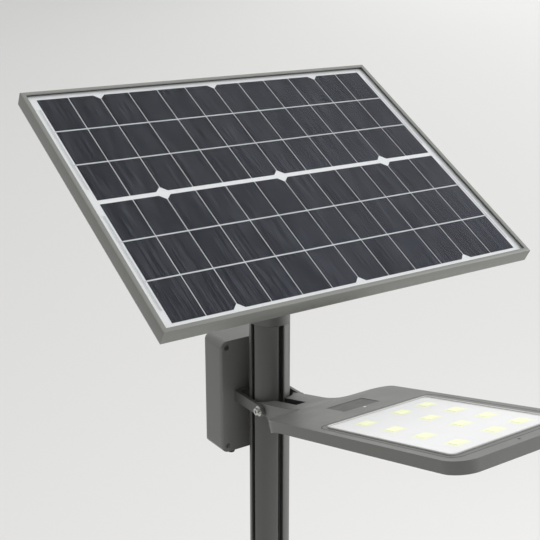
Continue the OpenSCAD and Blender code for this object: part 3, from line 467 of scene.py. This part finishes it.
class Surface:
    """Gathers the grids and flat fills of one piece, then makes its mesh."""

    def __init__(self, place: Array | None = None) -> None:
        """Starts an empty piece.

        Args:
            place: The matrix that carries the piece's own coordinates into the row frame.
        """
        self.place = np.eye(4) if place is None else place
        self.points: list[Array] = []
        self.faces: list[list[int]] = []
        self.marks: list[int] = []
        self.count = 0

    def add(self, points: Array, place: Array | None = None) -> int:
        """Stores points and returns the number of the first."""
        matrix = self.place if place is None else self.place @ place
        flat = points.reshape(-1, 3)
        self.points.append(flat @ matrix[:3, :3].T + matrix[:3, 3])
        self.count += len(flat)
        return self.count - len(flat)

    def grid(self, points: Array, around: bool = True, mark: int = 0, place: Array | None = None) -> None:
        """Adds a grid of quads whose rows follow each other.

        Args:
            points: Rows by columns by 3. Seen from outside, columns run to the right as rows go up.
            around: Whether each row closes on itself.
            mark: The number of the finish.
            place: A matrix inside the piece's own.
        """
        rows, columns = points.shape[:2]
        start = self.add(points, place)
        i = np.arange(rows - 1)[:, None] * columns
        j = np.arange(columns if around else columns - 1)[None]
        on = (j + 1) % columns
        quads = np.stack([i + j, i + on, i + columns + on, i + columns + j], axis=-1).reshape(-1, 4) + start
        self.faces.extend(quads.tolist())
        self.marks.extend([mark] * len(quads))

    def fill(self, rings: list[Array], height: float, up: bool = True, mark: int = 0,
             place: Array | None = None) -> None:
        """Adds a flat face between an outer ring and the rings of its holes.

        Args:
            rings: Outlines n by 2, the outer one first.
            height: The face's z.
            up: Whether it faces +z.
            mark: The number of the finish.
            place: A matrix inside the piece's own.
        """
        flat = np.concatenate(rings)
        start = self.add(np.column_stack([flat, np.full(len(flat), height)]), place)
        if len(rings) == 1:
            order = np.arange(len(flat)) if up else np.arange(len(flat))[::-1]
            faces = [(order + start).tolist()]
        else:
            found = np.array(tessellate_polygon([[Vector((*p, 0)) for p in ring] for ring in rings]))
            a, b, c = (flat[found[:, k]] for k in range(3))
            turn = (b - a)[:, 0] * (c - a)[:, 1] - (b - a)[:, 1] * (c - a)[:, 0]
            found = found[np.abs(turn) > 1e-14]
            turn = turn[np.abs(turn) > 1e-14]
            wrong = (turn > 0) != up
            found[wrong] = found[wrong][:, ::-1]
            faces = (found + start).tolist()
        self.faces.extend(faces)
        self.marks.extend([mark] * len(faces))

    def wall(self, outline: Array, low: float, high: float, edge: float, steps: int = 3, support: float = 0.25,
             mark: int = 0, place: Array | None = None) -> Array:
        """Adds an upright wall along an outline, with quarter-round edges.

        Around the edge the wall steps inwards by edge (1 - sin a) while it rises by edge (1 - cos a).

        Args:
            outline: The closed outline; material is on its left.
            low: The z of the lower end.
            high: The z of the upper end.
            edge: The radius of both edges.
            steps: Spans in each quarter.
            support: Width of the flat strip beside each edge, as a share of the edge.
            mark: The number of the finish.
            place: A matrix inside the piece's own.

        Returns:
            The ring where the flat ends begin.
        """
        normals = left_normals(outline)
        angle = np.linspace(0, math.pi / 2, steps + 1)
        inset = np.concatenate([[edge * (1 + support)], edge * (1 - np.sin(angle))])
        rise = np.concatenate([[0], edge * (1 - np.cos(angle))])
        insets = np.concatenate([inset, inset[::-1]])
        heights = np.concatenate([low + rise, high - rise[::-1]])
        rings = outline + normals * insets[:, None, None]
        tall = np.broadcast_to(heights[:, None, None], (*rings.shape[:2], 1))
        self.grid(np.concatenate([rings, tall], axis=2), True, mark, place)
        return rings[0]

    def slab(self, outline: Array, low: float, high: float, edge: float, holes: tuple[Array, ...] = (),
             steps: int = 3, mark: int = 0, place: Array | None = None) -> None:
        """Adds a plate with quarter-round edges, around its outline and around each hole.

        Args:
            outline: The anticlockwise outline.
            low: The z of the underside.
            high: The z of the top.
            edge: The radius of every edge.
            holes: Anticlockwise outlines of the holes.
            steps: Spans in each quarter.
            mark: The number of the finish.
            place: A matrix inside the piece's own.
        """
        rings = [self.wall(ring, low, high, edge, steps, mark=mark, place=place)
                 for ring in (outline, *(hole[::-1] for hole in holes))]
        self.fill(rings, low, False, mark, place)
        self.fill(rings, high, True, mark, place)

    def sweep(self, rings: Array, mark: int = 0, place: Array | None = None) -> None:
        """Adds a bar whose section is carried from ring to ring, with a flat face at each end.

        Args:
            rings: Rings by points by 3.
            mark: The number of the finish.
            place: A matrix inside the piece's own.
        """
        self.grid(rings, True, mark, place)
        for ring, order in ((rings[0], -1), (rings[-1], 1)):
            start = self.add(ring[::order], place)
            self.faces.append(list(range(start, start + len(ring))))
            self.marks.append(mark)

    def lathe(self, profile: Array, count: int = 40, mark: int = 0, place: Array | None = None) -> None:
        """Adds a profile of radius and height turned about z; it runs up the outside and closes on the axis."""
        angles = np.arange(count) * 2 * math.pi / count
        ring = np.stack([np.cos(angles), np.sin(angles)], axis=1)
        plane = profile[:, None, :1] * ring[None]
        tall = np.broadcast_to(profile[:, None, 1:], (len(profile), count, 1))
        self.grid(np.concatenate([plane, tall], axis=2), True, mark, place)

    def build(self, name: str, looks: tuple[Look, ...], body: str, slot: str, replaces: tuple[str, ...] = (),
              sharp: float = 40.0) -> bpy.types.Object:
        """Makes the mesh object, dresses it and ties it to the frame.

        Args:
            name: The piece's name.
            looks: Its finishes, in the order of the marks.
            body: The body it rides on.
            slot: Not used.
            replaces: The nodes it stands for.
            sharp: Angle over which an edge stays sharp.

        Returns:
            The new object.
        """
        mesh = bpy.data.meshes.new(name)
        mesh.from_pydata(np.concatenate(self.points), [], self.faces)
        mesh.polygons.foreach_set("material_index", np.array(self.marks, np.int32))
        work = bmesh.new()
        work.from_mesh(mesh)
        bmesh.ops.remove_doubles(work, verts=work.verts, dist=2e-6)
        bmesh.ops.dissolve_degenerate(work, dist=1e-7, edges=work.edges)
        if work.calc_volume(signed=True) < 0:
            bmesh.ops.reverse_faces(work, faces=work.faces)
        work.to_mesh(mesh)
        work.free()
        mesh.shade_smooth()
        mesh.set_sharp_from_angle(angle=math.radians(sharp))
        for look in looks:
            mesh.materials.append(look.value.material())
        piece = bpy.data.objects.new(name, mesh)
        bpy.context.scene.collection.objects.link(piece)
        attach(piece, body)
        if replaces:
            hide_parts(*replaces)
        log.info("%s rides on %s, %d faces", name, body, len(mesh.polygons))
        return piece


# ---------------------------------------------------------------- mast


@dataclass
class Mast:
    """The round profile with four grooves for sliding nuts."""

    radius: float = 23 * MM
    low: float = 12 * MM
    high: float = 1512 * MM
    mouth: float = 3.3 * MM
    lip: float = 3 * MM
    chamber: float = 5.5 * MM
    depth: float = 10 * MM
    bore: float = 4.3 * MM
    eased: float = 0.6 * MM
    spans: int = 18

    def outline(self) -> Array:
        """The section: a quarter with one groove, turned four times about the middle."""
        reach = math.sqrt(self.radius**2 - self.mouth**2)
        inner, floor = self.radius - self.lip, self.radius - self.depth
        right = np.array([[self.mouth, reach], [self.mouth, inner], [self.chamber, inner], [self.chamber, floor]])
        groove = np.concatenate([right, right[::-1] * (-1, 1)])
        edge = math.asin(self.mouth / self.radius)
        angles = math.pi / 2 + np.linspace(edge, math.pi / 2 - edge, self.spans + 1)[1:-1]
        quarter = np.concatenate([groove, self.radius * np.stack([np.cos(angles), np.sin(angles)], axis=1)])
        easings = np.array([self.eased, 0.4 * MM, 0.4 * MM, MM, MM, 0.4 * MM, 0.4 * MM, self.eased])
        radii = np.tile(np.concatenate([easings, np.zeros(len(angles))]), 4)
        turns = [np.array(Matrix.Rotation(k * math.pi / 2, 2)) for k in range(4)]
        return round_corners(np.concatenate([quarter @ turn.T for turn in turns]), radii, 3)

    def build(self) -> None:
        """Carries the section up the mast and closes both ends around the bore."""
        surface = Surface()
        surface.slab(self.outline(), self.low, self.high, 0.3 * MM, (circle(self.bore, 32),), 2)
        surface.build("mast_profile", (Look.PROFILE,), "mast", "profile", ("mast",), 35)


# ---------------------------------------------------------------- panel


@dataclass
class Panel:
    """The panel's frame sides, its glass and the flat wires on the cells."""

    width: float = 448 * MM
    depth: float = 340 * MM
    top: float = 2 * MM
    bottom: float = -13 * MM
    lip: float = 5 * MM
    wall: float = 1.8 * MM
    pane_top: float = 0.8 * MM
    pane_low: float = -1.1 * MM
    shelf: tuple[float, float, float] = (9 * MM, -2.1 * MM, 1.2 * MM)
    flange: tuple[float, float] = (17 * MM, 1.5 * MM)
    string: float = 156 * MM
    string_gap: float = 6 * MM
    cell_pitch: float = 35 * MM
    cells_width: float = 420 * MM
    ribbon: float = 1.6 * MM
    bus: float = 1.5 * MM

    def section(self) -> Array:
        """The frame's section: x runs inwards from the outer face."""
        shelf_w, shelf_top, shelf_t = self.shelf
        flange_w, flange_t = self.flange
        corners = np.array([
            [0, self.bottom], [0, self.top], [self.lip, self.top], [self.lip, self.pane_top],
            [self.wall, self.pane_top], [self.wall, shelf_top], [shelf_w, shelf_top],
            [shelf_w, shelf_top - shelf_t], [self.wall, shelf_top - shelf_t],
            [self.wall, self.bottom + flange_t], [flange_w, self.bottom + flange_t], [flange_w, self.bottom],
        ])[::-1]
        radii = np.array([0.5, 0.8, 0.5, 0.1, 0.1, 0.1, 0.3, 0.3, 0.2, 0.3, 0.4, 0.4])[::-1] * MM
        return round_corners(corners, radii, 3)

    def side(self, name: str, length: float, depth: float, turn: float) -> None:
        """Carries the section along one side; each end is cut at 45 degrees, 0.04 mm short.

        Args:
            name: The node that the side stands for.
            length: Outer length of the side.
            depth: Size of the panel across the side.
            turn: Turn about the panel's normal in degrees.
        """
        section = self.section()
        inwards, tall = section[:, 0], section[:, 1]
        reach = length / 2 - inwards - 0.04 * MM
        stations = np.array([-1, 1])[:, None] * reach[None]
        rings = np.stack([
            stations, np.broadcast_to(inwards - depth / 2, stations.shape), np.broadcast_to(tall, stations.shape),
        ], axis=-1)
        surface = Surface(PANEL_PLACE @ turned("Z", turn))
        surface.sweep(rings)
        surface.build(f"{name}_bar", (Look.FRAME,), "panel", "frame_alu", (name,), 30)

    def pane(self) -> None:
        """The glass: a slab with eased edges, a hair above the cells."""
        inset = 2 * (self.wall + 1.0 * MM)
        surface = Surface(PANEL_PLACE)
        surface.slab(rectangle(self.width - inset, self.depth - inset, 1.5 * MM, 3), self.pane_low, self.pane_top,
                     0.25 * MM, steps=2)
        surface.build("panel_pane", (Look.GLASS,), "panel", "cover_glass", ("panel_glass",))

    def wires(self) -> None:
        """Two ribbons along each string that dip by 0.1 mm between strips, and a bar across their ends."""
        surface = Surface(PANEL_PLACE)
        half = self.cells_width / 2 + 1.4 * MM
        count = round(self.cells_width / self.cell_pitch)
        seams = -self.cells_width / 2 + self.cell_pitch * np.arange(count + 1)
        stations = np.concatenate([[-half], (seams[:, None] + np.array([-1.4, 0, 1.4]) * MM).ravel(), [half]])
        dips = np.concatenate([[0.1], np.tile([0, 0.1, 0], count + 1), [0.1]]) * MM
        section = rectangle(self.ribbon, 0.06 * MM, 0.02 * MM, 2)
        mid = (self.string + self.string_gap) / 2
        for y in (-mid - self.string / 6, -mid + self.string / 6, mid - self.string / 6, mid + self.string / 6):
            shape = (len(stations), len(section))
            rings = np.stack([
                np.broadcast_to(stations[:, None], shape), np.broadcast_to(section[:, 0] + y, shape),
                section[:, 1] + self.pane_low - 0.05 * MM - dips[:, None],
            ], axis=-1)
            surface.sweep(rings)
        for side in (-1, 1):
            for y in (-mid, mid):
                bar = rectangle(self.bus, self.string * 0.8, 0.4 * MM, 2, (side * (half + self.bus / 2), y))
                surface.slab(bar, self.pane_low - 0.18 * MM, self.pane_low - 0.1 * MM, 0.02 * MM, steps=1)
        surface.build("cell_wires", (Look.RIBBON,), "panel", "ribbon", ("cell_ribbons",))

    def build(self) -> None:
        """Builds the four sides, the glass and the wires."""
        self.side("frame_front", self.width, self.depth, 0)
        self.side("frame_back", self.width, self.depth, 180)
        self.side("frame_left", self.depth, self.width, -90)
        self.side("frame_right", self.depth, self.width, 90)
        self.pane()
        self.wires()


# ---------------------------------------------------------------- lamp head


@dataclass
class LightWindow:
    """The lit module on the head: a lens plate with twelve chips under a thin glass in a pale rim."""

    width: float = 127 * MM
    length: float = 175 * MM
    middle: tuple[float, float] = (2.5 * MM, 265.2 * MM)
    corner: float = 5 * MM
    rim: float = 1.3 * MM
    rows: tuple[float, ...] = (37.5 * MM, -6.5 * MM, -38 * MM)
    columns: tuple[float, ...] = (204 * MM, 245.2 * MM, 286.4 * MM, 327.6 * MM)
    chip: float = 11.5 * MM
    plate_low: float = 14.63 * MM
    plate_top: float = 14.85 * MM
    pane_low: float = 15.55 * MM
    pane_top: float = 15.85 * MM
    rim_top: float = 16.1 * MM
    seam_out: float = 7.5 * MM
    seam_wide: float = 0.6 * MM
    dome: float = 12 * MM
    dome_rise: float = 0.35 * MM
    sunk: float = 0.1 * MM
    gap: float = 0.05 * MM

    def outline(self, inset: float) -> Array:
        """The window's outline, moved inwards."""
        return rectangle(self.width - 2 * inset, self.length - 2 * inset, self.corner - 0.5 * inset, 5, self.middle)

    def plate(self) -> None:
        """The lens plate, with a low dome around each chip: its height rises as the sine of the way in."""
        surface = Surface(LAMP_PLACE)
        surface.slab(self.outline(self.rim + self.gap), self.plate_low, self.plate_top, 0.05 * MM, steps=1)
        share = np.linspace(0, 1, 7)
        radii, tall = self.dome * (1 - share), self.dome_rise * np.sin(share * math.pi / 2)
        dome = np.column_stack([np.append(self.dome, radii), np.append(-self.sunk, tall)])
        for x in self.rows:
            for y in self.columns:
                surface.lathe(dome, 32, place=shifted(x, y, self.plate_top))
                surface.fill([circle(self.dome, 32)], -self.sunk, False, place=shifted(x, y, self.plate_top))
        surface.build("lens_plate", (Look.LENS_PLATE_PAINTED_GLOW,), "lamp", "reflector", ("reflector",))

    def chips(self) -> None:
        """Twelve square chips that stand just out of the domes."""
        surface = Surface(LAMP_PLACE)
        for x in self.rows:
            for y in self.columns:
                surface.slab(rectangle(self.chip, self.chip, 1.2 * MM, 3, (x, y)), self.plate_top + 0.1 * MM,
                             self.plate_top + 0.6 * MM, 0.15 * MM, steps=2)
        surface.build("light_chips", (Look.CHIP,), "lamp", "phosphor", ("led_chips",))

    def build(self) -> None:
        """Builds the plate, the chips, the glass, its rim and the seam around it."""
        self.plate()
        self.chips()
        glass = Surface(LAMP_PLACE)
        glass.slab(self.outline(self.rim + self.gap), self.pane_low, self.pane_top, 0.1 * MM, steps=2)
        glass.build("window_pane", (Look.WINDOW,), "lamp", "window", ("lamp_window",))
        rim = Surface(LAMP_PLACE)
        rim.slab(self.outline(0), self.plate_low, self.rim_top, 0.3 * MM, (self.outline(self.rim),), 2)
        rim.build("window_rim", (Look.SILICONE,), "lamp", "seal_rubber", ("window_gasket",))
        seam = Surface(LAMP_PLACE)
        middle = (0, self.middle[1])
        outer, inner = (rectangle(self.width + grow, self.length + grow, 11 * MM, 8, middle)
                        for grow in (2 * self.seam_out, 2 * (self.seam_out - self.seam_wide)))
        seam.slab(outer, self.plate_low, self.plate_low + 0.06 * MM, 0.02 * MM, (inner,), 1)
        seam.build("bezel_seam", (Look.RUBBER,), "lamp", "seal_rubber")


@dataclass
class CableLiner:
    """The black rubber trough that lines the cable slot in the lamp's neck; its black is partly painted shade,
    standing in for the shade deep inside the slot.
    """

    middle: float = 3 * MM
    half: float = 6.75 * MM
    floor: float = -10.5 * MM
    top: float = 7.1 * MM
    thickness: float = 0.8 * MM
    back: float = 4 * MM
    front: float = 45.9 * MM

    def build(self) -> None:
        """Carries a U-shaped section along the slot; both ends are open."""
        t = self.thickness
        corners = np.array([
            [-self.half, self.top], [-self.half, self.floor], [self.half, self.floor], [self.half, self.top],
            [self.half - t, self.top], [self.half - t, self.floor + t], [-self.half + t, self.floor + t],
            [-self.half + t, self.top],
        ])
        section = round_corners(corners, np.array([0.3, 0.6, 0.6, 0.3, 0.3, 0.4, 0.4, 0.3]) * MM, 2)
        stations = np.linspace(self.back, self.front, 12)
        shape = (len(stations), len(section))
        rings = np.stack([
            np.broadcast_to(section[:, 0] + self.middle, shape), np.broadcast_to(stations[:, None], shape),
            np.broadcast_to(section[:, 1], shape),
        ], axis=-1)
        surface = Surface(LAMP_PLACE)
        surface.sweep(rings)
        # Partly painted shade: the black liner also stands in for the shade inside the slot.
        surface.build("cable_liner", (Look.RUBBER,), "lamp", "seal_rubber")


# ---------------------------------------------------------------- pieces kept from the frame


@dataclass
class KeptPieces:
    """Nodes whose shape is right as it is: some take a finish, some also get eased edges."""

    looks: dict[str, Look]
    eased: dict[str, float] = field(default_factory=dict)

    def dress(self, node: str, look: Look) -> None:
        """Puts a finish on a node's own object."""
        piece = frame["nodes"][node]
        for slot in piece.material_slots:
            slot.material = look.value.material()
        log.info("%s keeps its shape with %s", node, look.value.name)

    def ease(self, node: str, look: Look, width: float) -> None:
        """Replaces a node by a merged copy of itself whose sharp edges are bevelled.

        Args:
            node: The node's name.
            look: The copy's finish.
            width: Width of the bevel.
        """
        source = frame["nodes"][node]
        mesh = source.data.copy()
        mesh.name = f"{node}_eased"
        work = bmesh.new()
        work.from_mesh(mesh)
        bmesh.ops.remove_doubles(work, verts=work.verts, dist=1e-6)
        bmesh.ops.dissolve_limit(work, angle_limit=math.radians(0.8), verts=work.verts, edges=work.edges)
        work.to_mesh(mesh)
        work.free()
        if mesh.has_custom_normals:
            mesh.attributes.remove(mesh.attributes["custom_normal"])
        mesh.shade_smooth()
        mesh.set_sharp_from_angle(angle=SHARP)
        mesh.materials.clear()
        mesh.materials.append(look.value.material())
        piece = bpy.data.objects.new(f"{node}_eased", mesh)
        bpy.context.scene.collection.objects.link(piece)
        bevel = piece.modifiers.new("eased", "BEVEL")
        bevel.width = width
        bevel.segments = 2
        bevel.limit_method = "ANGLE"
        bevel.angle_limit = SHARP
        bevel.harden_normals = True
        record = frame["record"]
        body = next(name for name, nodes in record["behaviour"]["bodies"].items() if node in nodes)
        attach(piece, body)
        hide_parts(node)
        log.info("%s has edges eased by %.2f mm", node, width / MM)

    def build(self) -> None:
        """Dresses or eases each node."""
        for node, look in self.looks.items():
            if node in self.eased:
                self.ease(node, look, self.eased[node])
            else:
                self.dress(node, look)


# ---------------------------------------------------------------- studio


@dataclass
class Studio:
    """A pale floor, a soft sky, two softboxes and the camera."""

    azimuth: float = -34.14
    elevation: float = 17.38
    lens: float = 71.0
    camera_at: tuple[float, float, float] = (-0.6255, -0.9233, 1.9195)
    floor_size: float = 160.0
    sky_base: float = 0.60
    sky_slopes: Colour = (0.34, 0.36, 0.5)

    def build(self) -> None:
        """Makes the stage and the camera."""
        self.sky()
        self.floor()
        self.softbox("key_light", (2.2, -1.3, 3.1), (0, -0.1, 1.5), 1.6, 26)
        self.softbox("right_light", (2.6, -1.0, 1.4), (0, 0, 1.4), 1.2, 12)
        self.camera()

    def sky(self) -> None:
        """A pale sky that is brighter overhead, towards +X and towards +Y."""
        world = bpy.data.worlds.new("studio_sky")
        bpy.context.scene.world = world
        world.use_nodes = True
        tree = world.node_tree
        back = tree.nodes["Background"]
        direction = tree.nodes.new("ShaderNodeTexCoord").outputs["Generated"]
        split = tree.nodes.new("ShaderNodeSeparateXYZ")
        tree.links.new(direction, split.inputs[0])
        strength: object = self.sky_base
        for output, share in zip(split.outputs, self.sky_slopes):
            step = tree.nodes.new("ShaderNodeMath")
            step.operation = "MULTIPLY_ADD"
            step.inputs[1].default_value = share
            tree.links.new(output, step.inputs[0])
            if isinstance(strength, float):
                step.inputs[2].default_value = strength
            else:
                tree.links.new(strength, step.inputs[2])
            strength = step.outputs[0]
        tree.links.new(strength, back.inputs["Strength"])
        back.inputs["Color"].default_value = (1.0, 0.997, 0.99, 1.0)

    def floor(self) -> None:
        """A wide plane at z = 0."""
        half = self.floor_size / 2
        mesh = bpy.data.meshes.new("floor")
        mesh.from_pydata([(-half, -half, 0), (half, -half, 0), (half, half, 0), (-half, half, 0)], [], [(0, 1, 2, 3)])
        mesh.materials.append(Look.FLOOR.value.material())
        plane = bpy.data.objects.new("floor", mesh)
        bpy.context.scene.collection.objects.link(plane)

    def softbox(self, name: str, at: tuple[float, float, float], to: tuple[float, float, float], size: float,
                power: float) -> None:
        """A square area light.

        Args:
            name: The light's name.
            at: Its place.
            to: The point it faces.
            size: Its side.
            power: Its power in watts.
        """
        light = bpy.data.lights.new(name, "AREA")
        light.size = size
        light.energy = power
        lamp = bpy.data.objects.new(name, light)
        lamp.location = at
        lamp.rotation_euler = (Vector(at) - Vector(to)).to_track_quat("Z", "Y").to_euler()
        bpy.context.scene.collection.objects.link(lamp)

    def camera(self) -> None:
        """The camera, looking back along its azimuth and elevation."""
        turn, rise = math.radians(self.azimuth), math.radians(self.elevation)
        back = Vector((math.sin(turn) * math.cos(rise), -math.cos(turn) * math.cos(rise), math.sin(rise)))
        right = Vector((0, 0, 1)).cross(back).normalized()
        above = back.cross(right)
        data = bpy.data.cameras.new("camera")
        data.lens = self.lens
        data.sensor_width = 36
        view = bpy.data.objects.new("camera", data)
        basis = Matrix((right, above, back)).transposed().to_4x4()
        view.matrix_world = Matrix.Translation(self.camera_at) @ basis
        bpy.context.scene.collection.objects.link(view)
        bpy.context.scene.camera = view


NODE_LOOKS = {
    "base_plate": Look.BASE, "base_socket": Look.BASE, "socket_screws": Look.STEEL_DARK,
    "mast_cap": Look.PROFILE, "cap_screw": Look.STEEL_DARK,
    "swivel_head": Look.PROFILE, "swivel_set_screws": Look.STEEL_DARK,
    "tilt_bracket": Look.PROFILE, "tilt_bolt": Look.STEEL_DARK, "tilt_nut": Look.STEEL_DARK,
    "tilt_washers": Look.STEEL, "cross_rails": Look.FRAME, "rail_screws": Look.STEEL,
    "corner_keys": Look.FRAME, "edge_seal": Look.RUBBER,
    "solar_cells": Look.CELL, "backsheet": Look.BACKSHEET,
    "junction_box": Look.PLASTIC, "junction_lid": Look.PLASTIC, "junction_gland": Look.PLASTIC,
    "carriage_strap": Look.PROFILE, "slot_nuts": Look.STEEL_DARK, "slot_screws": Look.STEEL_DARK,
    "box_screws": Look.STEEL_DARK, "battery_box": Look.HOUSING, "box_seal": Look.RUBBER,
    "box_lid": Look.HOUSING, "lid_screws": Look.STEEL_DARK, "battery_cells": Look.WRAP,
    "cell_holder": Look.PLASTIC, "charge_controller": Look.BOARD, "box_glands": Look.PLASTIC,
    "button_bezel": Look.PLASTIC, "power_button": Look.BUTTON, "pivot_bolts": Look.STEEL,
    "pivot_washers": Look.STEEL, "lamp_housing": Look.HOUSING, "lamp_cover": Look.HOUSING,
    "cover_screws": Look.STEEL_DARK, "led_board": Look.WHITE_BOARD,
    "driver_board": Look.BOARD, "sensor_window": Look.SENSOR, "indicator_lens": Look.LENS,
    "bezel_screws": Look.STEEL_DARK, "lamp_gland": Look.PLASTIC,
}

EASED = {
    "base_plate": 1.0 * MM, "base_socket": 0.8 * MM, "mast_cap": 0.5 * MM, "swivel_head": 0.5 * MM,
    "tilt_bracket": 0.5 * MM, "cross_rails": 0.4 * MM, "junction_box": 0.6 * MM, "junction_lid": 0.6 * MM,
    "carriage_strap": 0.5 * MM, "battery_box": 0.8 * MM, "box_lid": 1.2 * MM, "button_bezel": 0.3 * MM,
    "lamp_housing": 0.7 * MM, "lamp_cover": 0.4 * MM, "sensor_window": 0.25 * MM,
    "pivot_bolts": 0.3 * MM, "tilt_bolt": 0.3 * MM, "tilt_nut": 0.3 * MM,
}


def main() -> None:
    """Builds every sub-assembly, then the studio."""
    logging.basicConfig(level=logging.INFO, format="%(message)s")
    bpy.context.scene.view_settings.view_transform = "Standard"
    Mast().build()
    Panel().build()
    LightWindow().build()
    CableLiner().build()
    KeptPieces(NODE_LOOKS, EASED).build()
    Studio().build()


if __name__ == "__main__":
    main()
